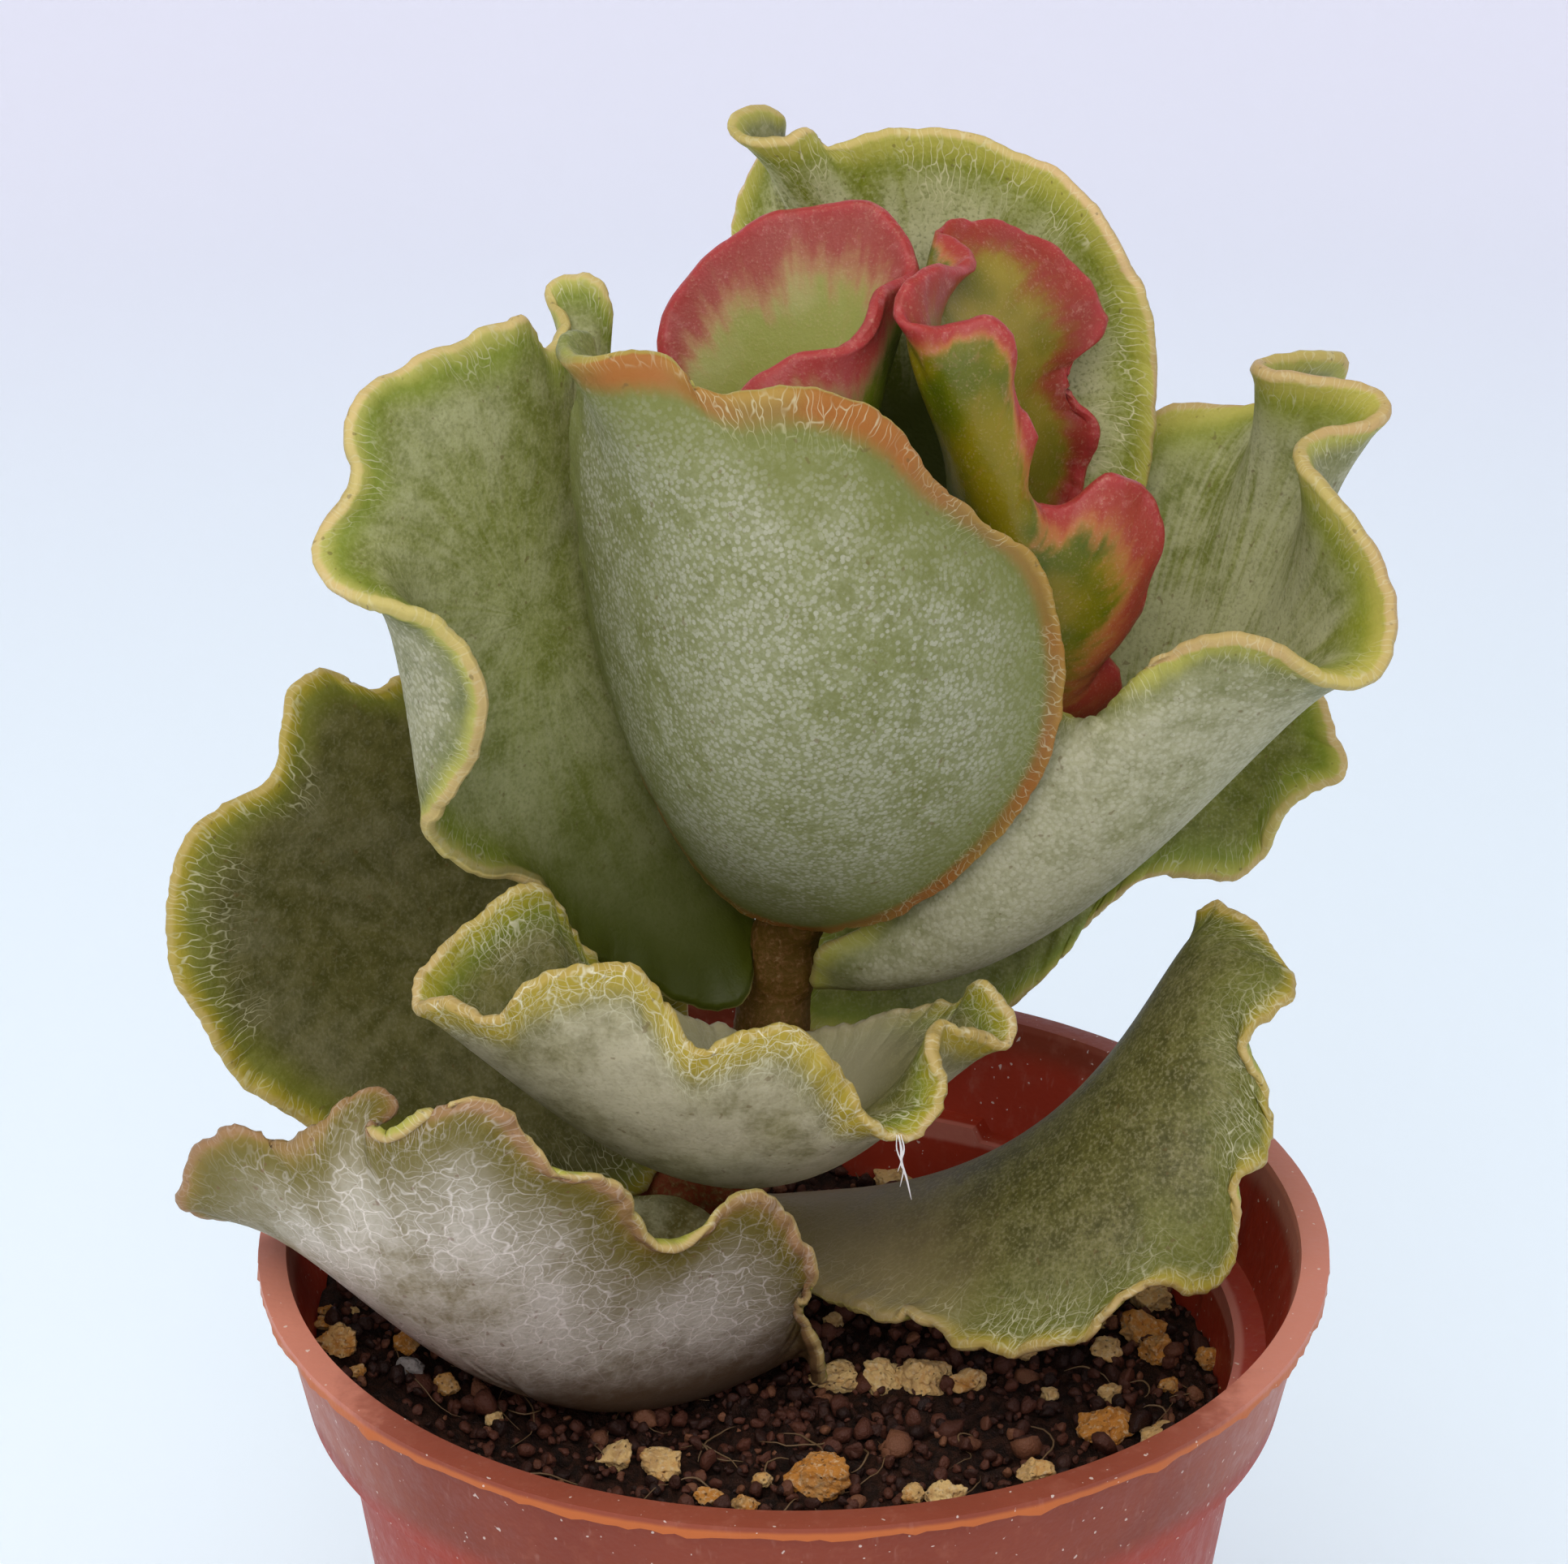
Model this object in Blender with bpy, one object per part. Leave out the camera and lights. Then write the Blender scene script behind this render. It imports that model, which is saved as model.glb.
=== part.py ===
"""Potted adromischus: waved, wax-coated leaves on a short stem, in a small plastic nursery pot.

Blender 4.5, metres, +Z up. The origin is at the middle of the pot's flat base, +Y points away from
the viewer of the photograph and +X to that viewer's right.
"""

import math

import bpy
import numpy as np

MM = 0.001

# Pot, in millimetres
POT_HEIGHT = 50.0
LIP_RADIUS = 27.5
LIP_INNER_RADIUS = 26.2
LIP_THICKNESS = 0.8
LIP_ROUNDING = 0.2
COLLAR_TOP_RADIUS = 26.8
COLLAR_FOOT_RADIUS = 25.5
COLLAR_HEIGHT = 7.4
BODY_TOP_RADIUS = 23.9
BASE_RADIUS = 18.5
WALL = 0.9
FLOOR = 1.2
FOOT_CHAMFER = 0.4
LEDGE_RISE = 0.8
POT_STEPS = 48

# Soil, in millimetres
SOIL_TOP = 40.2
SOIL_GAP = 0.3
SOIL_EDGE_INSET = 0.3
SOIL_FOOT_INSET = 0.2
SOIL_RINGS = 15
SOIL_STEPS = 72
CRUMB_HEIGHT = 0.35
MOUND_HEIGHT = 0.6
MOUND_REACH = 5.0
BANK_START = -8.0
BANK_WIDTH = 13.0
BANK_RISE = 2.4
GRAIN_RISE = 0.35
GRAIN_LEVEL = 0.5

# Leaf blades, in millimetres
BLADE_MIDDLE = 1.9
BLADE_EDGE = 1.0
BLADE_RIM = 0.64
BLADE_LEAST = 0.6
THINNING_ROUNDS = 10
THINNING_STEP = 0.85
SMALLEST_SHARE = 0.2
BLADE_SEGMENTS = 64
BLADE_RINGS = (0.94, 0.82, 0.63, 0.42, 0.21)
HIGHEST_WAVE = 24
WAVE_TAPER = 10.0
WAVE_TAPER_END = 4
WAVE_SAMPLES = 1024
PATH_STEPS = 24
PROBE = 0.01
NEAR_MARGIN = 0.9

# Stem, in millimetres
STEM_FOOT_RADIUS = 2.3
STEM_TOP_RADIUS = 1.3
STEM_STEPS = 16
STEM_RINGS = 20
STEM_BUMP = 0.04
STEM_BUMP_TURNS = 3
STEM_BUMP_SHIFT = 2.1
STEM_PROBE = 3

# The photograph's view, fitted to the pot's rim: where the eye stands in millimetres, how far it
# looks down, and the focal length and picture centre in pixels of the 1932 x 1927 picture
EYE = np.array([-0.5, -154.7, 138.6])
LOOK_DOWN = math.radians(22.5)
FOCAL = 4200.0
CENTRE_X = 966.0
CENTRE_Y = 963.5


def sight(px, py):
    """The direction from the eye through the picture's point (px, py), one unit ahead."""
    right = (px - CENTRE_X) / FOCAL
    up = (CENTRE_Y - py) / FOCAL
    return np.array([
        right,
        math.cos(LOOK_DOWN) + up * math.sin(LOOK_DOWN),
        up * math.cos(LOOK_DOWN) - math.sin(LOOK_DOWN),
    ])


def at_depth(px, py, y):
    """The point in millimetres seen at (px, py) whose distance along +Y is y."""
    ray = sight(px, py)
    return EYE + ray * (y - EYE[1]) / ray[1]


def at_height(px, py, z):
    """The point in millimetres seen at (px, py) at the height z."""
    ray = sight(px, py)
    return EYE + ray * (z - EYE[2]) / ray[2]


def smooth_path(points, closed):
    """Close samples along a smooth curve through the points, PATH_STEPS to each span."""
    points = np.asarray(points, dtype=float)
    total = len(points)
    spans = total if closed else total - 1
    out = []
    for i in range(spans):
        if closed:
            a, b, c, d = (points[(i + k) % total] for k in (-1, 0, 1, 2))
        else:
            a, b, c, d = (points[min(max(i + k, 0), total - 1)] for k in (-1, 0, 1, 2))
        first = max(np.linalg.norm(b - a), 1e-6) ** 0.5
        middle = max(np.linalg.norm(c - b), 1e-6) ** 0.5
        last = max(np.linalg.norm(d - c), 1e-6) ** 0.5
        if closed or i > 0:
            start = (b - a) / first - (c - a) / (first + middle) + (c - b) / middle
        else:
            start = (c - b) / middle
        if closed or i < spans - 1:
            end = (c - b) / middle - (d - b) / (middle + last) + (d - c) / last
        else:
            end = (c - b) / middle
        for t in np.arange(PATH_STEPS) / PATH_STEPS:
            out.append(
                (2 * t**3 - 3 * t**2 + 1) * b
                + (t**3 - 2 * t**2 + t) * start * middle
                + (3 * t**2 - 2 * t**3) * c
                + (t**3 - t**2) * end * middle
            )
    out.append(points[0] if closed else points[-1])
    return np.array(out)


def margin_loop(points, tip):
    """The margin resampled evenly by angle: the base at -90 degrees and the tip at +90."""
    curve = smooth_path(points, True)
    steps = np.linalg.norm(np.diff(curve, axis=0), axis=1)
    reach = np.concatenate([[0.0], np.cumsum(steps)])
    turn = tip * PATH_STEPS
    half = WAVE_SAMPLES // 2
    first = np.interp(np.arange(half) / half * reach[turn], reach, np.arange(len(reach)))
    rest = reach[turn] + np.arange(half) / half * (reach[-1] - reach[turn])
    second = np.interp(rest, reach, np.arange(len(reach)))
    where = np.concatenate([first, second])
    low = np.floor(where).astype(int)
    low = np.minimum(low, len(curve) - 2)
    part = (where - low)[:, None]
    return curve[low] * (1 - part) + curve[low + 1] * part


class Blade:
    """A leaf's middle surface: its margin, and how the margin's waves fade toward the middle."""

    def __init__(self, margin, tip, inside, fade):
        loop = margin_loop([at_depth(*p) for p in margin], tip)
        self.waves = np.fft.rfft(loop, axis=0) / WAVE_SAMPLES
        self.waves = self.waves[:HIGHEST_WAVE + 1]
        order = np.arange(HIGHEST_WAVE + 1)
        taper = np.clip((HIGHEST_WAVE + WAVE_TAPER_END - order) / WAVE_TAPER, 0.0, 1.0)
        self.waves = self.waves * taper[:, None]
        self.fade = fade
        self.swell = np.zeros((5, 3))
        spots = [((u, v), at_depth(*p)) for (u, v), p in inside]
        if spots:
            rows = np.array([self.swell_terms(u, v) for (u, v), _ in spots])
            wanted = np.array([p - self.point(u, v) for (u, v), p in spots])
            self.swell = np.linalg.lstsq(rows, wanted, rcond=None)[0]

    @staticmethod
    def swell_terms(u, v):
        rise = 1.0 - u * u - v * v
        return rise * np.array([1.0, u, v, u * u, v * v])

    def point(self, u, v):
        r = math.hypot(u, v)
        turn = math.atan2(u, -v) % (2 * math.pi)
        order = np.arange(len(self.waves))
        power = np.where(order <= 2, order, 2 + self.fade * (order - 2))
        fade = np.where(order == 0, 1.0, r ** power)
        swing = np.exp(1j * order * turn)
        scale = np.where(order == 0, 1.0, 2.0)
        flat = np.real((self.waves * (fade * scale * swing)[:, None]).sum(axis=0))
        return flat + self.swell_terms(u, v) @ self.swell

    def polar(self, r, turn):
        return self.point(r * math.sin(turn), -r * math.cos(turn))

    def normal(self, r, turn):
        if r > NEAR_MARGIN:
            outward = self.polar(r, turn) - self.polar(r - PROBE, turn)
            around = self.polar(r, turn + PROBE) - self.polar(r, turn - PROBE)
            facing = np.cross(outward, around)
        else:
            u = r * math.sin(turn)
            v = -r * math.cos(turn)
            along = self.point(u + PROBE, v) - self.point(u - PROBE, v)
            across = self.point(u, v + PROBE) - self.point(u, v - PROBE)
            facing = np.cross(along, across)
        return facing / max(np.linalg.norm(facing), 1e-9)


# Each leaf: how fast its waves fade inward; its margin as (px, py, depth along +Y in millimetres),
# starting at the base on the stem; the number of the margin point that is its tip; and where five
# inner spots of the blade are seen, each named by its place on a unit disc with the base lowest
LEAVES = {
    "leaf_a": {
        "fade": 1.0,
        "margin": [
            (988, 1139, 9.2), (1060, 1138, 6.2), (1130, 1110, 4.8), (1190, 1065, 3.5),
            (1240, 1015, 2.6), (1282, 955, 2.0), (1302, 900, 1.5), (1308, 820, 1.2),
            (1298, 745, 1.0), (1272, 685, 0.5), (1205, 643, -0.5), (1152, 598, -1.2),
            (1112, 532, -1.8), (1050, 492, -2.2), (985, 476, -2.5), (905, 484, -2.8),
            (852, 478, -2.8), (838, 446, -2.5), (800, 434, -2.3), (745, 434, -2.0),
            (702, 441, -1.2), (686, 425, 0.3), (700, 409, 2.0), (722, 420, 3.6),
            (708, 520, 5.0), (715, 640, 6.5), (740, 790, 7.5), (782, 920, 8.0),
            (845, 1040, 8.5), (910, 1115, 8.8),
        ],
        "tip": 14,
        "inside": [
            ((0, 0), (1000, 810, -5.5)), ((0, -0.5), (985, 990, -2.5)), ((0, 0.5), (990, 640, -5.0)),
            ((-0.5, 0), (850, 800, -2.5)), ((0.5, 0), (1160, 810, -3.5)),
        ],
    },
    "leaf_b": {
        "fade": 0.75,
        "margin": [
            (925, 1215, 8.5), (922, 1120, 12.8), (890, 960, 15.0), (830, 800, 15.5),
            (790, 650, 16.0), (760, 540, 16.0), (748, 430, 15.0), (745, 343, 15.0),
            (708, 337, 15.5), (674, 346, 15.5), (678, 372, 14.5), (700, 388, 13.5),
            (688, 410, 12.5), (668, 432, 11.0), (655, 408, 10.0), (640, 386, 9.0),
            (600, 405, 8.0), (540, 430, 6.0), (480, 458, 4.5), (441, 482, 3.0),
            (424, 530, 2.0), (434, 590, 1.5), (410, 630, 0.5), (388, 660, 0.0),
            (390, 700, -1.0), (415, 730, -2.0), (470, 745, -3.5), (530, 762, -4.0),
            (575, 800, -4.5), (598, 850, -4.5), (596, 900, -4.0), (575, 950, -3.0),
            (545, 1000, -2.0), (523, 1020, -1.0), (545, 1052, 0.0), (590, 1075, 1.0),
            (640, 1083, 2.0), (667, 1092, 2.5), (680, 1130, 3.5), (712, 1172, 4.5),
            (765, 1200, 6.0), (820, 1225, 7.0), (870, 1244, 7.5), (912, 1237, 8.0),
        ],
        "tip": 17,
        "inside": [
            ((0, 0), (640, 760, 7.0)), ((0, -0.5), (780, 1000, 9.5)), ((0, 0.5), (590, 580, 6.5)),
            ((-0.5, 0), (530, 830, 3.0)), ((0.5, 0), (745, 720, 12.3)),
        ],
    },
    "leaf_c": {
        "fade": 0.6,
        "margin": [
            (1001, 1212, 9.3), (1000, 1190, 8.0), (1012, 1162, 7.5), (1050, 1150, 8.0),
            (1110, 1100, 8.4), (1180, 1020, 8.0), (1240, 930, 7.0), (1285, 882, 5.9),
            (1312, 886, 4.9), (1345, 916, 4.2), (1372, 884, 3.2), (1401, 846, 2.2),
            (1441, 806, 1.0), (1500, 786, 0.0), (1560, 793, -0.2), (1620, 832, 0.0),
            (1680, 846, 0.5), (1712, 808, 1.5), (1717, 740, 3.0), (1688, 668, 4.5),
            (1638, 606, 6.0), (1604, 565, 7.0), (1600, 544, 8.2), (1630, 529, 9.3),
            (1672, 522, 9.8), (1706, 516, 10.0), (1713, 495, 11.0), (1700, 478, 12.0),
            (1655, 468, 12.3), (1600, 460, 12.5), (1553, 456, 13.0), (1544, 446, 14.2),
            (1566, 437, 15.3), (1620, 433, 16.0), (1660, 441, 16.8), (1650, 470, 18.3),
            (1600, 490, 19.3), (1545, 499, 20.0), (1480, 498, 20.3), (1425, 505, 20.3),
            (1385, 580, 20.6), (1345, 700, 20.9), (1270, 850, 19.6), (1180, 1000, 17.2),
            (1100, 1110, 14.2), (1045, 1180, 11.4),
        ],
        "tip": 19,
        "inside": [
            ((0, 0), (1380, 1050, 9.0)), ((0, -0.5), (1190, 1175, 8.5)), ((0, 0.5), (1560, 860, 9.0)),
            ((0.5, 0), (1362, 985, 3.3)), ((-0.5, 0), (1395, 818, 16.4)),
        ],
    },
    "leaf_d": {
        "fade": 0.75,
        "margin": [
            (1037, 1032, 13.4), (1120, 955, 15.4), (1220, 860, 16.6), (1320, 730, 17.4),
            (1390, 650, 17.6), (1414, 590, 17.5), (1424, 500, 17.2), (1421, 400, 17.2),
            (1400, 340, 17.5), (1375, 295, 18.0), (1345, 250, 19.0), (1300, 205, 20.5),
            (1230, 176, 21.5), (1160, 158, 22.0), (1110, 157, 22.0), (1065, 165, 21.5),
            (1035, 177, 21.0), (1010, 180, 20.5), (998, 154, 19.8), (970, 168, 18.8),
            (925, 170, 18.0), (893, 158, 17.8), (903, 138, 18.5), (930, 129, 19.5),
            (962, 138, 20.6), (950, 170, 22.0), (915, 230, 22.6), (900, 320, 22.3),
            (895, 430, 21.5), (900, 540, 20.3), (922, 680, 18.3), (952, 820, 16.5),
            (995, 950, 15.2),
        ],
        "tip": 14,
        "inside": [
            ((0, 0), (1110, 620, 21.5)), ((0, -0.5), (1075, 830, 17.5)), ((0, 0.5), (1130, 380, 23.0)),
            ((0.5, 0), (1270, 560, 19.3)), ((-0.5, 0), (985, 560, 21.0)),
        ],
    },
    "leaf_e": {
        "fade": 0.6,
        "margin": [
            (1035, 975, 10.0), (985, 870, 7.8), (930, 720, 5.8), (900, 590, 5.2),
            (900, 520, 5.2), (926, 475, 5.3), (982, 434, 5.3), (1012, 431, 5.3),
            (1064, 414, 5.9), (1083, 381, 6.8), (1080, 354, 8.0), (1106, 343, 9.4),
            (1127, 326, 10.9), (1120, 292, 12.4), (1103, 268, 13.3), (1083, 252, 14.0),
            (1024, 248, 14.5), (951, 264, 15.0), (891, 297, 15.0), (858, 330, 15.0),
            (832, 358, 14.8), (815, 395, 14.5), (812, 420, 14.0), (822, 500, 13.5),
            (855, 640, 13.0), (915, 790, 12.7), (985, 910, 12.0),
        ],
        "tip": 12,
        "inside": [
            ((0, 0), (1032, 680, 8.6)), ((0, -0.5), (1035, 840, 9.4)), ((0, 0.5), (1060, 510, 9.2)),
            ((0.5, 0), (968, 640, 5.0)), ((-0.5, 0), (940, 590, 12.6)),
        ],
    },
    "leaf_f": {
        "fade": 0.6,
        "margin": [
            (1095, 995, 11.2), (1155, 915, 13.3), (1240, 800, 14.3), (1300, 680, 14.9),
            (1330, 600, 15.0), (1349, 560, 15.0), (1347, 524, 14.8), (1325, 495, 14.8),
            (1321, 457, 15.0), (1345, 421, 15.3), (1366, 397, 15.3), (1357, 368, 15.5),
            (1333, 342, 16.0), (1290, 300, 16.3), (1224, 277, 16.0), (1180, 272, 15.2),
            (1157, 283, 14.0), (1170, 292, 12.6), (1192, 306, 11.4), (1203, 330, 10.2),
            (1176, 324, 8.6), (1146, 328, 7.2), (1120, 345, 6.0), (1109, 375, 5.0),
            (1118, 395, 4.3), (1163, 397, 5.0), (1215, 390, 5.0), (1248, 410, 5.0),
            (1248, 435, 5.2), (1233, 460, 5.5), (1250, 490, 5.5), (1274, 515, 5.3),
            (1262, 540, 5.8), (1245, 563, 6.0), (1252, 590, 6.0), (1280, 613, 5.8),
            (1318, 613, 6.0), (1350, 590, 6.5), (1378, 577, 7.0), (1408, 598, 7.5),
            (1428, 640, 7.8), (1427, 675, 7.8), (1412, 715, 7.8), (1412, 754, 8.0),
            (1385, 778, 8.2), (1360, 797, 8.0), (1375, 820, 8.2), (1388, 840, 8.8),
            (1370, 862, 9.4), (1347, 890, 10.0), (1285, 915, 10.8), (1220, 945, 10.8),
            (1150, 980, 10.4),
        ],
        "tip": 16,
        "inside": [
            ((0, 0), (1190, 615, 9.0)), ((0, -0.5), (1145, 850, 9.6)), ((0, 0.5), (1160, 435, 8.6)),
            ((-0.5, 0), (1250, 700, 5.5)), ((0.5, 0), (1250, 560, 14.0)),
        ],
    },
    "leaf_g": {
        "fade": 0.75,
        "margin": [
            (802, 1452, 11.1), (835, 1385, 12.4), (850, 1290, 14.6), (830, 1180, 16.0),
            (780, 1060, 16.5), (680, 950, 17.0), (590, 880, 16.5), (520, 840, 15.5),
            (488, 832, 14.5), (452, 851, 13.0), (420, 832, 12.5), (393, 824, 12.0),
            (368, 832, 11.5), (350, 870, 10.5), (345, 905, 10.0), (330, 962, 9.0),
            (285, 985, 8.0), (236, 1020, 6.5), (210, 1075, 5.5), (203, 1140, 5.0),
            (215, 1205, 4.5), (245, 1260, 4.0), (281, 1322, 4.0), (330, 1360, 4.0),
            (382, 1392, 4.0), (450, 1425, 4.8), (540, 1455, 6.5), (640, 1472, 8.5),
            (715, 1480, 9.7), (765, 1476, 10.2),
        ],
        "tip": 19,
        "inside": [
            ((0, 0), (540, 1180, 13.5)), ((0, -0.5), (700, 1330, 12.5)), ((0, 0.5), (360, 1130, 9.5)),
            ((0.5, 0), (620, 1020, 16.0)), ((-0.5, 0), (470, 1320, 9.0)),
        ],
    },
    "leaf_h": {
        "fade": 0.75,
        "margin": [
            (970, 1274, 9.2), (1040, 1262, 7.5), (1110, 1245, 6.0), (1160, 1232, 4.0),
            (1186, 1240, 2.5), (1200, 1215, 1.5), (1213, 1207, 0.8), (1238, 1235, 0.0),
            (1253, 1265, -0.8), (1245, 1290, -1.5), (1202, 1272, -2.5), (1168, 1259, -3.5),
            (1146, 1270, -4.5), (1150, 1302, -5.5), (1165, 1335, -6.2), (1150, 1388, -7.0),
            (1110, 1410, -7.5), (1076, 1390, -7.5), (1055, 1353, -7.0), (1024, 1301, -7.0),
            (984, 1262, -7.0), (951, 1262, -7.5), (898, 1280, -8.0), (864, 1296, -8.0),
            (846, 1270, -7.5), (815, 1228, -7.0), (794, 1194, -7.0), (752, 1183, -7.5),
            (689, 1196, -8.0), (642, 1213, -8.0), (611, 1248, -7.5), (548, 1235, -7.0),
            (512, 1240, -5.5), (510, 1222, -4.5), (537, 1170, -3.0), (585, 1128, -1.5),
            (630, 1097, -0.5), (660, 1086, 0.0), (690, 1110, 1.0), (715, 1160, 2.5),
            (760, 1205, 4.0), (830, 1245, 6.0), (890, 1265, 7.5), (935, 1280, 8.0),
        ],
        "tip": 22,
        "inside": [
            ((0, 0), (910, 1440, 0.0)), ((0, -0.5), (950, 1380, 5.0)), ((0, 0.5), (880, 1400, -5.5)),
            ((0.5, 0), (1070, 1390, 0.0)), ((-0.5, 0), (730, 1360, -1.0)),
        ],
    },
    "leaf_i": {
        "fade": 0.65,
        "margin": [
            (817, 1508, 9.7), (872, 1538, 8.6), (938, 1582, 6.0), (985, 1635, 3.0),
            (1008, 1682, -0.6), (1012, 1706, -3.6), (1010, 1672, -4.4), (988, 1632, -5.2),
            (980, 1605, -6.0), (997, 1592, -6.8), (1008, 1568, -7.2), (984, 1517, -7.5),
            (943, 1476, -8.0), (908, 1467, -8.3), (884, 1494, -8.6), (855, 1535, -9.0),
            (820, 1543, -9.5), (790, 1523, -10.0), (773, 1482, -10.5), (749, 1455, -11.0),
            (696, 1447, -11.5), (655, 1417, -11.5), (632, 1376, -11.5), (591, 1356, -11.5),
            (544, 1364, -11.3), (510, 1395, -11.4), (470, 1408, -11.8), (455, 1390, -10.0),
            (484, 1378, -8.2), (482, 1352, -7.0), (454, 1342, -7.2), (415, 1360, -8.3),
            (385, 1406, -9.0), (350, 1414, -8.5), (297, 1385, -7.0), (244, 1408, -6.0),
            (227, 1441, -5.5), (216, 1480, -5.0), (240, 1492, -4.0), (300, 1495, -2.5),
            (375, 1495, -1.0), (480, 1535, 2.5), (600, 1560, 5.0), (700, 1555, 6.5),
            (770, 1530, 8.0),
        ],
        "tip": 22,
        "inside": [
            ((0, 0), (690, 1708, -5.0)), ((0, -0.5), (775, 1572, 4.0)), ((0, 0.5), (600, 1570, -10.0)),
            ((0.5, 0), (885, 1688, -3.5)), ((-0.5, 0), (470, 1590, -6.5)),
        ],
    },
    "leaf_j": {
        "fade": 0.75,
        "margin": [
            (918, 1478, 10.7), (955, 1540, 6.0), (985, 1580, 1.5), (1030, 1603, -1.0),
            (1068, 1621, -3.0), (1094, 1633, -4.0), (1124, 1617, -4.8), (1170, 1652, -6.0),
            (1206, 1662, -7.0), (1247, 1671, -7.5), (1278, 1657, -8.0), (1323, 1657, -8.0),
            (1359, 1627, -8.0), (1385, 1594, -7.8), (1431, 1586, -7.5), (1487, 1591, -7.0),
            (1520, 1556, -6.3), (1526, 1509, -6.0), (1522, 1463, -5.5), (1553, 1438, -4.5),
            (1566, 1402, -3.5), (1563, 1356, -3.0), (1539, 1315, -2.5), (1533, 1280, -2.0),
            (1563, 1252, -1.0), (1602, 1218, 0.5), (1579, 1180, 2.5), (1548, 1142, 4.0),
            (1512, 1115, 5.2), (1487, 1115, 6.2), (1492, 1160, 7.6), (1482, 1230, 9.0),
            (1440, 1320, 10.8), (1350, 1400, 12.5), (1230, 1450, 14.0), (1100, 1480, 14.3),
            (1000, 1485, 12.5),
        ],
        "tip": 25,
        "inside": [
            ((0, 0), (1310, 1395, 3.0)), ((0, -0.5), (1110, 1478, 7.0)), ((0, 0.5), (1455, 1245, 2.5)),
            ((0.5, 0), (1340, 1500, -3.3)), ((-0.5, 0), (1320, 1408, 8.6)),
        ],
    },
    "leaf_k": {
        "fade": 0.75,
        "margin": [
            (976, 1258, 14.0), (1060, 1285, 14.5), (1150, 1290, 14.8), (1205, 1270, 15.0),
            (1245, 1242, 15.0), (1264, 1225, 15.3), (1297, 1195, 16.0), (1315, 1167, 17.0),
            (1330, 1149, 17.5), (1365, 1115, 18.0), (1408, 1086, 18.5), (1441, 1079, 19.0),
            (1480, 1082, 19.0), (1518, 1084, 19.0), (1546, 1070, 19.0), (1563, 1041, 19.0),
            (1568, 1017, 19.0), (1613, 981, 19.0), (1659, 955, 19.0), (1648, 907, 20.0),
            (1636, 866, 21.0), (1600, 800, 23.0), (1520, 750, 25.0), (1400, 730, 27.0),
            (1280, 770, 28.0), (1160, 860, 27.5), (1070, 980, 24.5), (1010, 1100, 19.5),
            (985, 1200, 16.0),
        ],
        "tip": 20,
        "inside": [
            ((0, 0), (1290, 1000, 24.0)), ((0, -0.5), (1130, 1130, 19.5)),
            ((0, 0.5), (1450, 900, 25.0)), ((0.5, 0), (1395, 985, 22.5)),
            ((-0.5, 0), (1220, 930, 25.8)),
        ],
    },
}

# The stem's middle line as (px, py, depth)
STEM_LINE = [
    (800, 1506, 13.0), (850, 1470, 12.5), (900, 1400, 12.2), (942, 1300, 11.8), (962, 1230, 11.6),
    (980, 1150, 11.4), (1005, 1080, 11.4), (1053, 984, 11.1),
]


def clear_scene():
    for item in list(bpy.data.objects):
        bpy.data.objects.remove(item, do_unlink=True)


def add_mesh(name, corners, faces, colour, roughness):
    mesh = bpy.data.meshes.new(name)
    mesh.from_pydata([tuple(float(c) * MM for c in corner) for corner in corners], [], faces)
    mesh.validate()
    body = bpy.data.objects.new(name, mesh)
    bpy.context.scene.collection.objects.link(body)
    material = bpy.data.materials.new(name)
    material.use_nodes = True
    shader = material.node_tree.nodes["Principled BSDF"]
    shader.inputs["Base Color"].default_value = (*colour, 1.0)
    shader.inputs["Roughness"].default_value = roughness
    mesh.materials.append(material)
    for polygon in mesh.polygons:
        polygon.use_smooth = True
    return body


def facings(corners, faces):
    first, second, third = (corners[faces[:, k]] for k in range(3))
    return np.cross(second - first, third - first)


def thinned(sheet, normals, half_thickness, faces):
    """Half thicknesses made less where a tight curl would turn a face of the blade inside out."""
    faces = np.array(faces)
    middle = facings(sheet, faces)
    size = (middle**2).sum(axis=1)
    half = half_thickness.copy()
    for _ in range(THINNING_ROUNDS):
        lift = normals * half[:, None]
        worst = np.minimum(
            (facings(sheet + lift, faces) * middle).sum(axis=1),
            (facings(sheet - lift, faces) * middle).sum(axis=1),
        )
        tight = faces[worst < SMALLEST_SHARE * size]
        if len(tight) == 0:
            break
        spots = np.unique(tight)
        half[spots] = np.maximum(half[spots] * THINNING_STEP, 0.5 * BLADE_LEAST)
    return half


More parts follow.
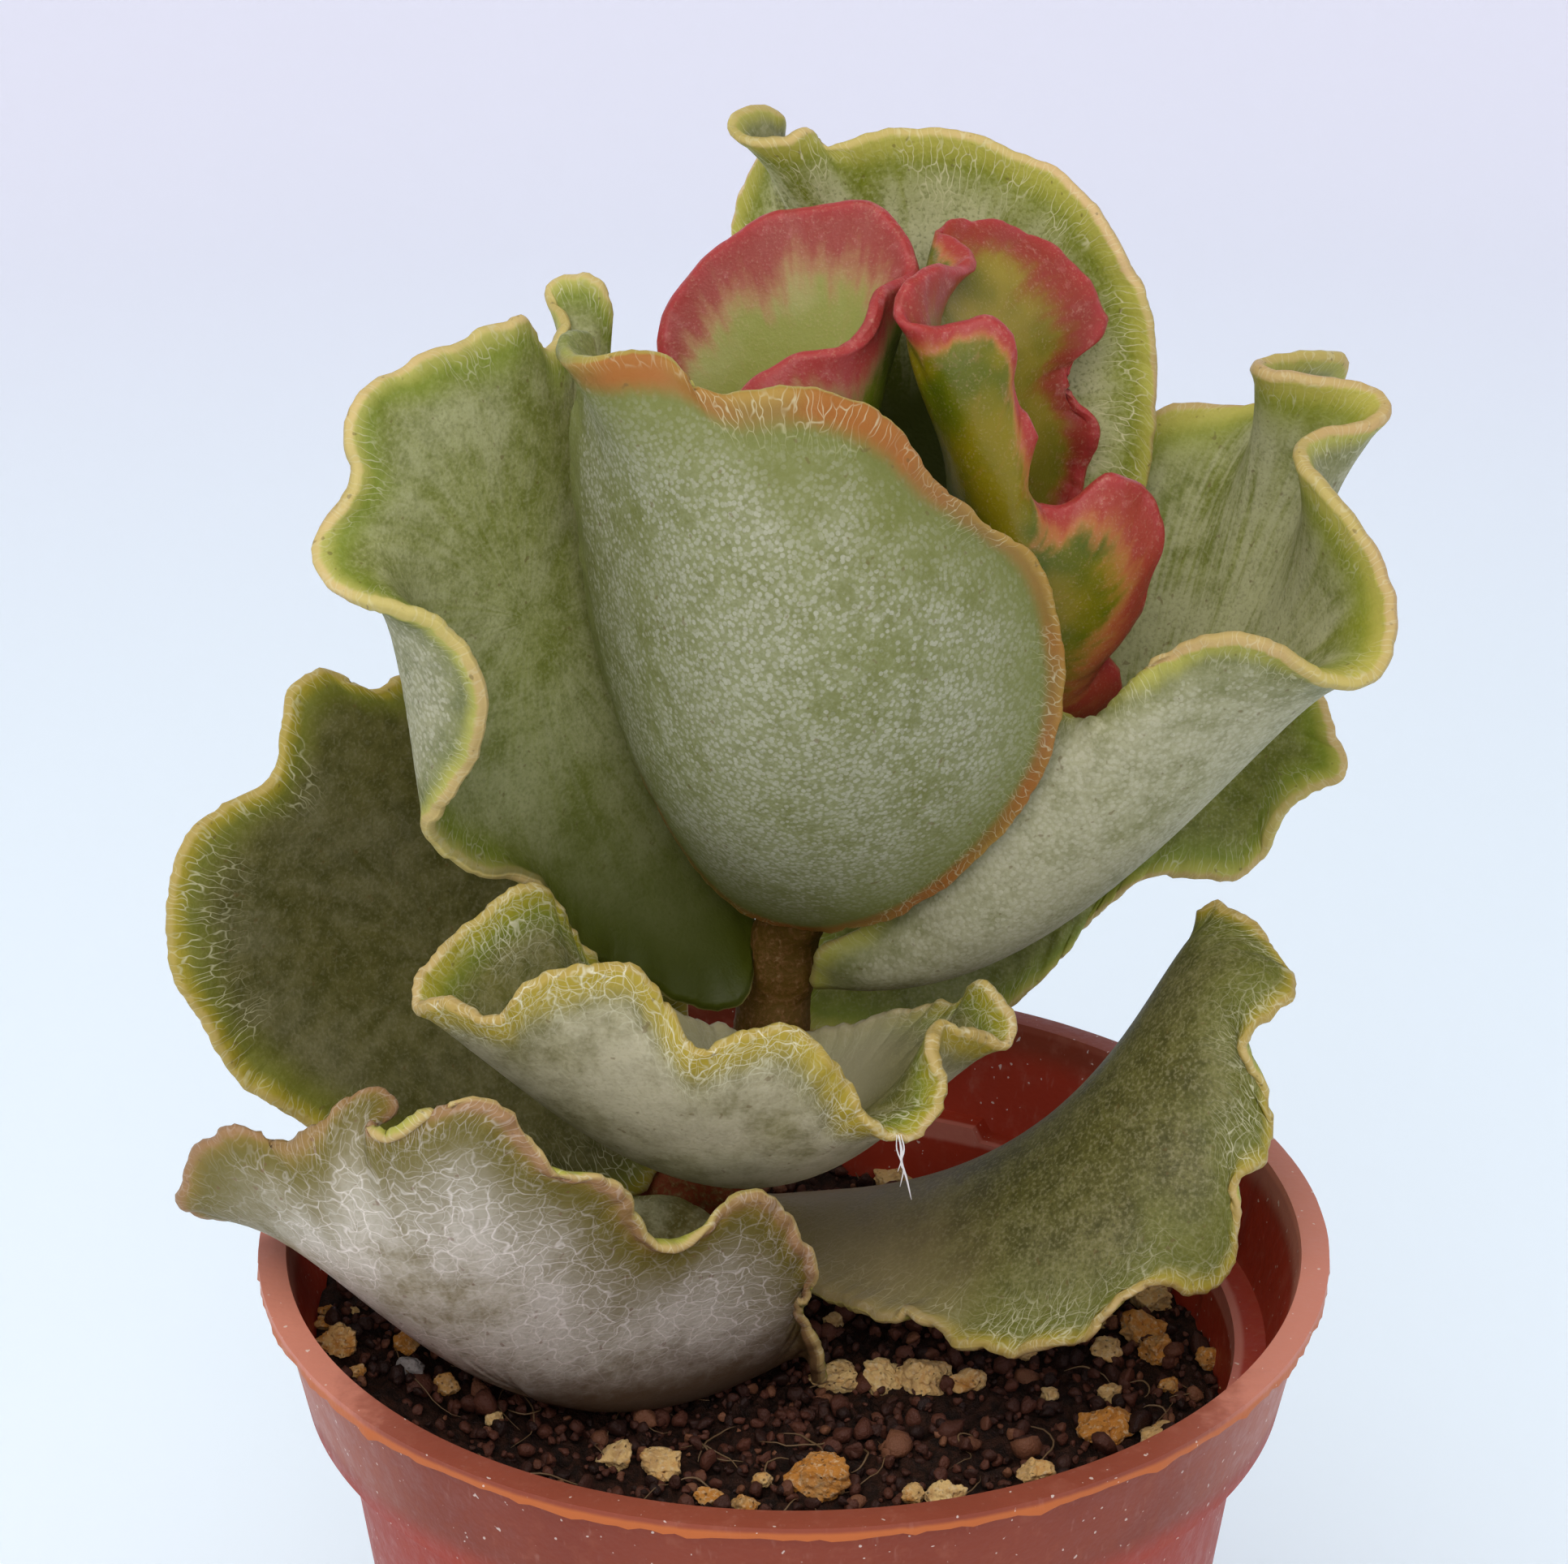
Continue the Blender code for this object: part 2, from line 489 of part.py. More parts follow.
def blade_mesh(blade):
    """Corners and triangles of a leaf: the same rings on both faces, joined round the margin."""
    counts = [BLADE_SEGMENTS, BLADE_SEGMENTS, BLADE_SEGMENTS]
    counts += [BLADE_SEGMENTS // 2, BLADE_SEGMENTS // 4, BLADE_SEGMENTS // 8]
    radii = (1.0,) + BLADE_RINGS
    sheet = []
    half_thickness = []
    normals = []
    starts = []
    for radius, count in zip(radii, counts):
        starts.append(len(sheet))
        for k in range(count):
            turn = 2 * math.pi * k / count
            sheet.append(blade.polar(radius, turn))
            normals.append(blade.normal(radius, turn))
            thick = BLADE_EDGE + (BLADE_MIDDLE - BLADE_EDGE) * (1 - radius**2)
            half_thickness.append(0.5 * (BLADE_RIM if radius == 1.0 else thick))
    sheet.append(blade.point(0.0, 0.0))
    normals.append(blade.normal(0.0, 0.0))
    half_thickness.append(0.5 * BLADE_MIDDLE)
    sheet = np.array(sheet)
    normals = np.array(normals)
    half_thickness = np.array(half_thickness)
    faces = []
    for ring in range(len(radii) - 1):
        outer, inner = starts[ring], starts[ring + 1]
        count, fewer = counts[ring], counts[ring + 1]
        if count == fewer:
            for k in range(count):
                n = (k + 1) % count
                faces.append((outer + k, outer + n, inner + n))
                faces.append((outer + k, inner + n, inner + k))
        else:
            for k in range(fewer):
                n = (k + 1) % fewer
                a, b, c = outer + 2 * k, outer + 2 * k + 1, outer + (2 * k + 2) % count
                faces.append((a, b, inner + k))
                faces.append((b, c, inner + n))
                faces.append((b, inner + n, inner + k))
    last = starts[-1]
    centre = len(sheet) - 1
    for k in range(counts[-1]):
        faces.append((last + k, last + (k + 1) % counts[-1], centre))
    lift = normals * thinned(sheet, normals, half_thickness, faces)[:, None]
    back = len(sheet)
    under = [(c + back, b + back, a + back) for a, b, c in faces]
    rim = []
    for k in range(BLADE_SEGMENTS):
        n = (k + 1) % BLADE_SEGMENTS
        rim.append((k, back + k, back + n))
        rim.append((k, back + n, n))
    return np.concatenate([sheet + lift, sheet - lift]), faces + under + rim


def lathe(profile, steps):
    """Corners and triangles of a closed (radius, height) profile turned about the upright axis."""
    corners = []
    rows = []
    for radius, height in profile:
        if radius == 0.0:
            rows.append([len(corners)] * steps)
            corners.append((0.0, 0.0, height))
            continue
        rows.append(list(range(len(corners), len(corners) + steps)))
        for k in range(steps):
            turn = 2 * math.pi * k / steps
            corners.append((radius * math.cos(turn), radius * math.sin(turn), height))
    faces = []
    for low, high in zip(rows, rows[1:]):
        for k in range(steps):
            n = (k + 1) % steps
            if low[k] != low[n]:
                faces.append((low[k], low[n], high[n]))
            if high[k] != high[n]:
                faces.append((low[k], high[n], high[k]))
    return corners, faces


def inner_radius(height):
    """The radius of the pot's inside wall at a height."""
    ledge = POT_HEIGHT - COLLAR_HEIGHT + LEDGE_RISE
    if height >= ledge:
        part = (height - ledge) / (POT_HEIGHT - ledge)
        return (COLLAR_FOOT_RADIUS - WALL) * (1 - part) + LIP_INNER_RADIUS * part
    part = (height - FLOOR) / (ledge - FLOOR)
    return (BASE_RADIUS - WALL) * (1 - part) + (BODY_TOP_RADIUS - WALL) * part


def build_pot():
    collar = POT_HEIGHT - COLLAR_HEIGHT
    ledge = collar + LEDGE_RISE
    lip = POT_HEIGHT - LIP_THICKNESS
    profile = [
        (0.0, 0.0), (BASE_RADIUS - FOOT_CHAMFER, 0.0), (BASE_RADIUS, FOOT_CHAMFER),
        (BODY_TOP_RADIUS, collar),
        (COLLAR_FOOT_RADIUS, collar), (COLLAR_TOP_RADIUS, lip), (LIP_RADIUS, lip + LIP_ROUNDING),
        (LIP_RADIUS, POT_HEIGHT - LIP_ROUNDING), (LIP_RADIUS - LIP_ROUNDING, POT_HEIGHT),
        (LIP_INNER_RADIUS, POT_HEIGHT), (COLLAR_FOOT_RADIUS - WALL, ledge),
        (BODY_TOP_RADIUS - WALL, ledge), (BASE_RADIUS - WALL, FLOOR), (0.0, FLOOR),
    ]
    corners, faces = lathe(profile, POT_STEPS)
    return add_mesh("pot", corners, faces, (0.42, 0.12, 0.06), 0.5)


# Pumice grains seen on the soil: middle as (px, py), then width in pixels
GRAINS = [
    (420, 1652, 55), (502, 1668, 60), (548, 1707, 40), (610, 1745, 34), (762, 1795, 62),
    (812, 1810, 60), (870, 1845, 44), (945, 1826, 34), (1010, 1818, 80), (915, 1858, 34),
    (1088, 1697, 60), (1140, 1700, 62), (1195, 1702, 46), (1028, 1700, 44), (1025, 1630, 30),
    (1410, 1640, 60), (1430, 1668, 44), (1362, 1762, 70), (1275, 1820, 52), (1165, 1845, 46),
    (1100, 1440, 52), (1300, 1720, 34), (1420, 1600, 52), (1368, 1718, 36),
]

# The soil's small waves: height share, turns per millimetre along X and Y, and shift
CRUMB_WAVES = [(0.25, 1.31, 1.17, 0.8), (0.25, 1.31, -1.17, 2.0), (0.5, 0.63, -0.7, 2.0)]


def soil_height(x, y, grains, foot):
    height = SOIL_TOP
    for share, along, across, shift in CRUMB_WAVES:
        height += CRUMB_HEIGHT * share * math.sin(along * x + across * y + shift)
    slope = min(max((BANK_START - x) / BANK_WIDTH, 0.0), 1.0)
    height += BANK_RISE * slope * slope * (3 - 2 * slope)
    away = math.hypot(x - foot[0], y - foot[1])
    height += MOUND_HEIGHT * math.exp(-((away / MOUND_REACH) ** 2))
    for gx, gy, size in grains:
        near = 1 - ((x - gx) ** 2 + (y - gy) ** 2) / (0.5 * size) ** 2
        if near > 0:
            height += GRAIN_RISE * size * math.sqrt(near)
    return height


def build_soil():
    foot = at_depth(*STEM_LINE[0])
    grains = []
    for px, py, width in GRAINS:
        spot = at_height(px, py, SOIL_TOP + GRAIN_LEVEL)
        size = width * np.linalg.norm(spot - EYE) / FOCAL
        grains.append((spot[0], spot[1], size))
    edge = inner_radius(SOIL_TOP) - SOIL_GAP - SOIL_EDGE_INSET
    floor = FLOOR + SOIL_GAP
    corners = [(0.0, 0.0, soil_height(0.0, 0.0, grains, foot))]
    for ring in range(1, SOIL_RINGS + 1):
        radius = edge * ring / SOIL_RINGS
        for k in range(SOIL_STEPS):
            turn = 2 * math.pi * k / SOIL_STEPS
            x, y = radius * math.cos(turn), radius * math.sin(turn)
            height = soil_height(x, y, grains if ring < SOIL_RINGS else [], foot)
            corners.append((x, y, height))
    faces = [(0, 1 + k, 1 + (k + 1) % SOIL_STEPS) for k in range(SOIL_STEPS)]
    for ring in range(SOIL_RINGS - 1):
        inner = 1 + ring * SOIL_STEPS
        outer = inner + SOIL_STEPS
        for k in range(SOIL_STEPS):
            n = (k + 1) % SOIL_STEPS
            faces.append((inner + k, outer + k, outer + n))
            faces.append((inner + k, outer + n, inner + n))
    low = len(corners)
    for k in range(SOIL_STEPS):
        turn = 2 * math.pi * k / SOIL_STEPS
        radius = inner_radius(floor) - SOIL_GAP - SOIL_FOOT_INSET
        corners.append((radius * math.cos(turn), radius * math.sin(turn), floor))
    corners.append((0.0, 0.0, floor))
    rim = 1 + (SOIL_RINGS - 1) * SOIL_STEPS
    for k in range(SOIL_STEPS):
        n = (k + 1) % SOIL_STEPS
        faces.append((rim + k, low + k, low + n))
        faces.append((rim + k, low + n, rim + n))
        faces.append((low + n, low + k, len(corners) - 1))
    return add_mesh("soil", corners, faces, (0.05, 0.025, 0.018), 0.95)


def build_stem():
    line = smooth_path([at_depth(*p) for p in STEM_LINE], False)
    picks = np.linspace(0, len(line) - 1, STEM_RINGS).astype(int)
    corners = []
    for i, pick in enumerate(picks):
        part = i / (STEM_RINGS - 1)
        ahead = line[min(pick + STEM_PROBE, len(line) - 1)] - line[max(pick - STEM_PROBE, 0)]
        ahead = ahead / np.linalg.norm(ahead)
        if i == 0:
            ahead = np.array([0.0, 0.0, 1.0])
        side = np.cross(ahead, [0.0, 1.0, 0.0])
        side = side / np.linalg.norm(side)
        back = np.cross(side, ahead)
        radius = STEM_FOOT_RADIUS * (1 - part) + STEM_TOP_RADIUS * part
        for k in range(STEM_STEPS):
            turn = 2 * math.pi * k / STEM_STEPS
            bump = 1 + STEM_BUMP * math.sin(STEM_BUMP_TURNS * turn + STEM_BUMP_SHIFT * i)
            across = math.cos(turn) * side - math.sin(turn) * back
            corners.append(line[pick] + radius * bump * across)
    faces = []
    for i in range(STEM_RINGS - 1):
        low, high = i * STEM_STEPS, (i + 1) * STEM_STEPS
        for k in range(STEM_STEPS):
            n = (k + 1) % STEM_STEPS
            faces.append((low + k, low + n, high + n))
            faces.append((low + k, high + n, high + k))
    top = (STEM_RINGS - 1) * STEM_STEPS
    corners.append(line[0])
    corners.append(line[-1])
    for k in range(STEM_STEPS):
        n = (k + 1) % STEM_STEPS
        faces.append((n, k, len(corners) - 2))
        faces.append((top + k, top + n, len(corners) - 1))
    return add_mesh("stem", corners, faces, (0.16, 0.10, 0.03), 0.7)


def build_leaves():
    colours = {"leaf_e": (0.35, 0.12, 0.10), "leaf_f": (0.35, 0.12, 0.10)}
    for name, leaf in LEAVES.items():
        blade = Blade(leaf["margin"], leaf["tip"], leaf["inside"], leaf["fade"])
        corners, faces = blade_mesh(blade)
        add_mesh(name, corners, faces, colours.get(name, (0.22, 0.30, 0.14)), 0.6)


clear_scene()
build_pot()
build_soil()
build_stem()
build_leaves()
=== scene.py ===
# %% [markdown]
# # Dressing a potted adromischus
# The solid model of this small succulent is a fixed frame: a nursery pot, the soil in it, a short stem
# and leaves with waved margins. This lesson puts the looks on it: the leaves again with thousands
# of small faces, so that their rolled margins are round, and then the wax, hairs, crumbs and plastic.

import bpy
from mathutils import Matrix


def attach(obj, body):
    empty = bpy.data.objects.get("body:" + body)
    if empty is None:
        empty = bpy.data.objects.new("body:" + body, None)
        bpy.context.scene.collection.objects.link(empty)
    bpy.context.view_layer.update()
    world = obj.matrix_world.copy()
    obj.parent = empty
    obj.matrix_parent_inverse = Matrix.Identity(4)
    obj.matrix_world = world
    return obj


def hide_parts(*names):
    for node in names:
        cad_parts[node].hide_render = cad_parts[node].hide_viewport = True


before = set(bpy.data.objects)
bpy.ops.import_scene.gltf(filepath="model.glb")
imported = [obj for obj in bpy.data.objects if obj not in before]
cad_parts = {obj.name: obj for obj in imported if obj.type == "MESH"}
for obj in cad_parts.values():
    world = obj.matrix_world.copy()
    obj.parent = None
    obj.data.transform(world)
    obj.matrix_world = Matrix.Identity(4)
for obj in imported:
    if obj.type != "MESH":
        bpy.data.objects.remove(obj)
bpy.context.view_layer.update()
print("solids:", sorted(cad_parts))

# %% [markdown]
# Blender's own calls do most of the work. numpy handles long lists of points at once, and noise gives
# the small unevenness that no grown or moulded thing is without.

# %% The tools of the lesson
import math

import bpy
import numpy as np
from mathutils import Vector, noise

MM = 0.001
print("lengths are worked out in millimetres and put into meshes in metres")

# %% [markdown]
# The photograph was taken from in front and a little above. A camera here has the same place, tilt and
# lens, worked out from the ellipse of the pot's lip. The same numbers turn a spot of the picture into
# a place on a leaf, once its distance is known, so the margins below are lists of picture spots.

# %% The camera
EYE = np.array([-0.5, -154.7, 138.6])
LOOK_DOWN = math.radians(22.5)
FOCAL = 4200.0
CENTRE_X = 966.0
CENTRE_Y = 963.5
PICTURE_WIDTH = 1932.0
SENSOR_WIDTH = 36.0

view = bpy.data.cameras.new("view")
view.sensor_width = SENSOR_WIDTH
view.lens = FOCAL / PICTURE_WIDTH * SENSOR_WIDTH
view.clip_start = 0.01
view.clip_end = 10.0
camera = bpy.data.objects.new("view", view)
bpy.context.scene.collection.objects.link(camera)
camera.location = EYE * MM
camera.rotation_euler = (math.pi / 2 - LOOK_DOWN, 0.0, 0.0)
bpy.context.scene.camera = camera
print("lens", round(view.lens, 2), "mm")


def sight(px, py):
    """The direction from the eye through the picture's point (px, py), one unit ahead."""
    right = (px - CENTRE_X) / FOCAL
    up = (CENTRE_Y - py) / FOCAL
    return np.array([
        right,
        math.cos(LOOK_DOWN) + up * math.sin(LOOK_DOWN),
        up * math.cos(LOOK_DOWN) - math.sin(LOOK_DOWN),
    ])


def at_depth(px, py, y):
    """The point in millimetres seen at (px, py) whose distance along +Y is y."""
    ray = sight(px, py)
    return EYE + ray * (y - EYE[1]) / ray[1]


def at_height(px, py, z):
    """The point in millimetres seen at (px, py) at the height z."""
    ray = sight(px, py)
    return EYE + ray * (z - EYE[2]) / ray[2]


# %% [markdown]
# A leaf of this plant is a thick, water-filled blade whose margin is longer than a flat leaf's, so it
# ruffles. Such a blade could be sculpted, or a grid could be pulled about with a lattice. Here its
# margin is drawn once round as a list of spots, and the middle follows from the margin: each wave
# of the margin dies away toward the middle, and short waves die away first, as in a soap film.

# %% Margins of the leaves
# Five places inside a leaf, as shares of its half width and half length
INSIDE_AT = [(0, 0), (0, -0.5), (0, 0.5), (0.5, 0), (-0.5, 0)]

# For each leaf: how fast short waves fade inward, which spot of the margin is the tip, then the spots
# of those five places and of the margin, as (picture x, picture y, distance along +Y in mm)
LEAVES = {
    "leaf_a": {
        "fade": 1.0, "tip": 14,
        "inside": [
            (1000, 810, -5.5), (985, 990, -2.5), (990, 640, -5.0),
            (1160, 810, -3.5), (850, 800, -2.5),
        ],
        "margin": [
            (988, 1139, 9.2), (1060, 1138, 6.2), (1130, 1110, 4.8), (1190, 1065, 3.5), (1240, 1015, 2.6),
            (1282, 955, 2.0), (1302, 900, 1.5), (1308, 820, 1.2), (1298, 745, 1.0), (1272, 685, 0.5),
            (1205, 643, -0.5), (1152, 598, -1.2), (1112, 532, -1.8), (1050, 492, -2.2), (985, 476, -2.5),
            (905, 484, -2.8), (852, 478, -2.8), (838, 446, -2.5), (800, 434, -2.3), (745, 434, -2.0),
            (702, 441, -1.2), (686, 425, 0.3), (700, 409, 2.0), (722, 420, 3.6), (708, 520, 5.0),
            (715, 640, 6.5), (740, 790, 7.5), (782, 920, 8.0), (845, 1040, 8.5), (910, 1115, 8.8),
        ],
    },
    "leaf_b": {
        "fade": 0.75, "tip": 17,
        "inside": [(640, 760, 7.0), (780, 1000, 9.5), (590, 580, 6.5), (745, 720, 12.3), (530, 830, 3.0)],
        "margin": [
            (925, 1215, 8.5), (922, 1120, 12.8), (890, 960, 15.0), (830, 800, 15.5), (790, 650, 16.0),
            (760, 540, 16.0), (748, 430, 15.0), (745, 343, 15.0), (708, 337, 15.5), (674, 346, 15.5),
            (678, 372, 14.5), (700, 388, 13.5), (688, 410, 12.5), (668, 432, 11.0), (655, 408, 10.0),
            (640, 386, 9.0), (600, 405, 8.0), (540, 430, 6.0), (480, 458, 4.5), (441, 482, 3.0),
            (424, 530, 2.0), (434, 590, 1.5), (410, 630, 0.5), (388, 660, 0.0), (390, 700, -1.0),
            (415, 730, -2.0), (470, 745, -3.5), (530, 762, -4.0), (575, 800, -4.5), (598, 850, -4.5),
            (596, 900, -4.0), (575, 950, -3.0), (545, 1000, -2.0), (523, 1020, -1.0), (545, 1052, 0.0),
            (590, 1075, 1.0), (640, 1083, 2.0), (667, 1092, 2.5), (680, 1130, 3.5), (712, 1172, 4.5),
            (765, 1200, 6.0), (820, 1225, 7.0), (870, 1244, 7.5), (912, 1237, 8.0),
        ],
    },
    "leaf_c": {
        "fade": 0.6, "tip": 19,
        "inside": [
            (1380, 1050, 9.0), (1190, 1175, 8.5), (1560, 860, 9.0),
            (1362, 985, 3.3), (1395, 818, 16.4),
        ],
        "margin": [
            (1001, 1212, 9.3), (1000, 1190, 8.0), (1012, 1162, 7.5), (1050, 1150, 8.0), (1110, 1100, 8.4),
            (1180, 1020, 8.0), (1240, 930, 7.0), (1285, 882, 5.9), (1312, 886, 4.9), (1345, 916, 4.2),
            (1372, 884, 3.2), (1401, 846, 2.2), (1441, 806, 1.0), (1500, 786, 0.0), (1560, 793, -0.2),
            (1620, 832, 0.0), (1680, 846, 0.5), (1712, 808, 1.5), (1717, 740, 3.0), (1688, 668, 4.5),
            (1638, 606, 6.0), (1604, 565, 7.0), (1600, 544, 8.2), (1630, 529, 9.3), (1672, 522, 9.8),
            (1706, 516, 10.0), (1713, 495, 11.0), (1700, 478, 12.0), (1655, 468, 12.3), (1600, 460, 12.5),
            (1553, 456, 13.0), (1544, 446, 14.2), (1566, 437, 15.3), (1620, 433, 16.0), (1660, 441, 16.8),
            (1650, 470, 18.3), (1600, 490, 19.3), (1545, 499, 20.0), (1480, 498, 20.3), (1425, 505, 20.3),
            (1385, 580, 20.6), (1345, 700, 20.9), (1270, 850, 19.6), (1180, 1000, 17.2),
            (1100, 1110, 14.2), (1045, 1180, 11.4),
        ],
    },
    "leaf_d": {
        "fade": 0.75, "tip": 14,
        "inside": [
            (1110, 620, 21.5), (1075, 830, 17.5), (1130, 380, 23.0),
            (1270, 560, 19.3), (985, 560, 21.0),
        ],
        "margin": [
            (1037, 1032, 13.4), (1120, 955, 15.4), (1220, 860, 16.6), (1320, 730, 17.4),
            (1390, 650, 17.6), (1414, 590, 17.5), (1424, 500, 17.2), (1421, 400, 17.2), (1400, 340, 17.5),
            (1375, 295, 18.0), (1345, 250, 19.0), (1300, 205, 20.5), (1230, 176, 21.5), (1160, 158, 22.0),
            (1110, 157, 22.0), (1065, 165, 21.5), (1035, 177, 21.0), (1010, 180, 20.5), (998, 154, 19.8),
            (970, 168, 18.8), (925, 170, 18.0), (893, 158, 17.8), (903, 138, 18.5), (930, 129, 19.5),
            (962, 138, 20.6), (950, 170, 22.0), (915, 230, 22.6), (900, 320, 22.3), (895, 430, 21.5),
            (900, 540, 20.3), (922, 680, 18.3), (952, 820, 16.5), (995, 950, 15.2),
        ],
    },
    "leaf_e": {
        "fade": 0.6, "tip": 12,
        "inside": [
            (1032, 680, 8.6), (1035, 840, 9.4), (1060, 510, 9.2),
            (968, 640, 5.0), (940, 590, 12.6),
        ],
        "margin": [
            (1035, 975, 10.0), (985, 870, 7.8), (930, 720, 5.8), (900, 590, 5.2), (900, 520, 5.2),
            (926, 475, 5.3), (982, 434, 5.3), (1012, 431, 5.3), (1064, 414, 5.9), (1083, 381, 6.8),
            (1080, 354, 8.0), (1106, 343, 9.4), (1127, 326, 10.9), (1120, 292, 12.4), (1103, 268, 13.3),
            (1083, 252, 14.0), (1024, 248, 14.5), (951, 264, 15.0), (891, 297, 15.0), (858, 330, 15.0),
            (832, 358, 14.8), (815, 395, 14.5), (812, 420, 14.0), (822, 500, 13.5), (855, 640, 13.0),
            (915, 790, 12.7), (985, 910, 12.0),
        ],
    },
    "leaf_f": {
        "fade": 0.6, "tip": 16,
        "inside": [
            (1190, 615, 9.0), (1145, 850, 9.6), (1160, 435, 8.6),
            (1250, 560, 14.0), (1250, 700, 5.5),
        ],
        "margin": [
            (1095, 995, 11.2), (1155, 915, 13.3), (1240, 800, 14.3), (1300, 680, 14.9), (1330, 600, 15.0),
            (1349, 560, 15.0), (1347, 524, 14.8), (1325, 495, 14.8), (1321, 457, 15.0), (1345, 421, 15.3),
            (1366, 397, 15.3), (1357, 368, 15.5), (1333, 342, 16.0), (1290, 300, 16.3), (1224, 277, 16.0),
            (1180, 272, 15.2), (1157, 283, 14.0), (1170, 292, 12.6), (1192, 306, 11.4), (1203, 330, 10.2),
            (1176, 324, 8.6), (1146, 328, 7.2), (1120, 345, 6.0), (1109, 375, 5.0), (1118, 395, 4.3),
            (1163, 397, 5.0), (1215, 390, 5.0), (1248, 410, 5.0), (1248, 435, 5.2), (1233, 460, 5.5),
            (1250, 490, 5.5), (1274, 515, 5.3), (1262, 540, 5.8), (1245, 563, 6.0), (1252, 590, 6.0),
            (1280, 613, 5.8), (1318, 613, 6.0), (1350, 590, 6.5), (1378, 577, 7.0), (1408, 598, 7.5),
            (1428, 640, 7.8), (1427, 675, 7.8), (1412, 715, 7.8), (1412, 754, 8.0), (1385, 778, 8.2),
            (1360, 797, 8.0), (1375, 820, 8.2), (1388, 840, 8.8), (1370, 862, 9.4), (1347, 890, 10.0),
            (1285, 915, 10.8), (1220, 945, 10.8), (1150, 980, 10.4),
        ],
    },
    "leaf_g": {
        "fade": 0.75, "tip": 19,
        "inside": [
            (540, 1180, 13.5), (700, 1330, 12.5), (360, 1130, 9.5),
            (620, 1020, 16.0), (470, 1320, 9.0),
        ],
        "margin": [
            (802, 1452, 11.1), (835, 1385, 12.4), (850, 1290, 14.6), (830, 1180, 16.0), (780, 1060, 16.5),
            (680, 950, 17.0), (590, 880, 16.5), (520, 840, 15.5), (488, 832, 14.5), (452, 851, 13.0),
            (420, 832, 12.5), (393, 824, 12.0), (368, 832, 11.5), (350, 870, 10.5), (345, 905, 10.0),
            (330, 962, 9.0), (285, 985, 8.0), (236, 1020, 6.5), (210, 1075, 5.5), (203, 1140, 5.0),
            (215, 1205, 4.5), (245, 1260, 4.0), (281, 1322, 4.0), (330, 1360, 4.0), (382, 1392, 4.0),
            (450, 1425, 4.8), (540, 1455, 6.5), (640, 1472, 8.5), (715, 1480, 9.7), (765, 1476, 10.2),
        ],
    },
    "leaf_h": {
        "fade": 0.75, "tip": 22,
        "inside": [
            (910, 1440, 0.0), (950, 1380, 5.0), (880, 1400, -5.5),
            (1070, 1390, 0.0), (730, 1360, -1.0),
        ],
        "margin": [
            (970, 1274, 9.2), (1040, 1262, 7.5), (1110, 1245, 6.0), (1160, 1232, 4.0), (1186, 1240, 2.5),
            (1200, 1215, 1.5), (1213, 1207, 0.8), (1238, 1235, 0.0), (1253, 1265, -0.8),
            (1245, 1290, -1.5), (1202, 1272, -2.5), (1168, 1259, -3.5), (1146, 1270, -4.5),
            (1150, 1302, -5.5), (1165, 1335, -6.2), (1150, 1388, -7.0), (1110, 1410, -7.5),
            (1076, 1390, -7.5), (1055, 1353, -7.0), (1024, 1301, -7.0), (984, 1262, -7.0),
            (951, 1262, -7.5), (898, 1280, -8.0), (864, 1296, -8.0), (846, 1270, -7.5), (815, 1228, -7.0),
            (794, 1194, -7.0), (752, 1183, -7.5), (689, 1196, -8.0), (642, 1213, -8.0), (611, 1248, -7.5),
            (548, 1235, -7.0), (512, 1240, -5.5), (510, 1222, -4.5), (537, 1170, -3.0), (585, 1128, -1.5),
            (630, 1097, -0.5), (660, 1086, 0.0), (690, 1110, 1.0), (715, 1160, 2.5), (760, 1205, 4.0),
            (830, 1245, 6.0), (890, 1265, 7.5), (935, 1280, 8.0),
        ],
    },
    "leaf_i": {
        "fade": 0.65, "tip": 22,
        "inside": [
            (690, 1708, -5.0), (775, 1572, 4.0), (600, 1570, -10.0),
            (885, 1688, -3.5), (470, 1590, -6.5),
        ],
        "margin": [
            (817, 1508, 9.7), (872, 1538, 8.6), (938, 1582, 6.0), (985, 1635, 3.0), (1008, 1682, -0.6),
            (1012, 1706, -3.6), (1010, 1672, -4.4), (988, 1632, -5.2), (980, 1605, -6.0),
            (997, 1592, -6.8), (1008, 1568, -7.2), (984, 1517, -7.5), (943, 1476, -8.0),
            (908, 1467, -8.3), (884, 1494, -8.6), (855, 1535, -9.0), (820, 1543, -9.5),
            (790, 1523, -10.0), (773, 1482, -10.5), (749, 1455, -11.0), (696, 1447, -11.5),
            (655, 1417, -11.5), (632, 1376, -11.5), (591, 1356, -11.5), (544, 1364, -11.3),
            (510, 1395, -11.4), (470, 1408, -11.8), (455, 1390, -10.0), (484, 1378, -8.2),
            (482, 1352, -7.0), (454, 1342, -7.2), (415, 1360, -8.3), (385, 1406, -9.0), (350, 1414, -8.5),
            (297, 1385, -7.0), (244, 1408, -6.0), (227, 1441, -5.5), (216, 1480, -5.0), (240, 1492, -4.0),
            (300, 1495, -2.5), (375, 1495, -1.0), (480, 1535, 2.5), (600, 1560, 5.0), (700, 1555, 6.5),
            (770, 1530, 8.0),
        ],
    },
    "leaf_j": {
        "fade": 0.75, "tip": 25,
        "inside": [
            (1310, 1395, 3.0), (1110, 1478, 7.0), (1455, 1245, 2.5),
            (1340, 1500, -3.3), (1320, 1408, 8.6),
        ],
        "margin": [
            (918, 1478, 10.7), (955, 1540, 6.0), (985, 1580, 1.5), (1030, 1603, -1.0), (1068, 1621, -3.0),
            (1094, 1633, -4.0), (1124, 1617, -4.8), (1170, 1652, -6.0), (1206, 1662, -7.0),
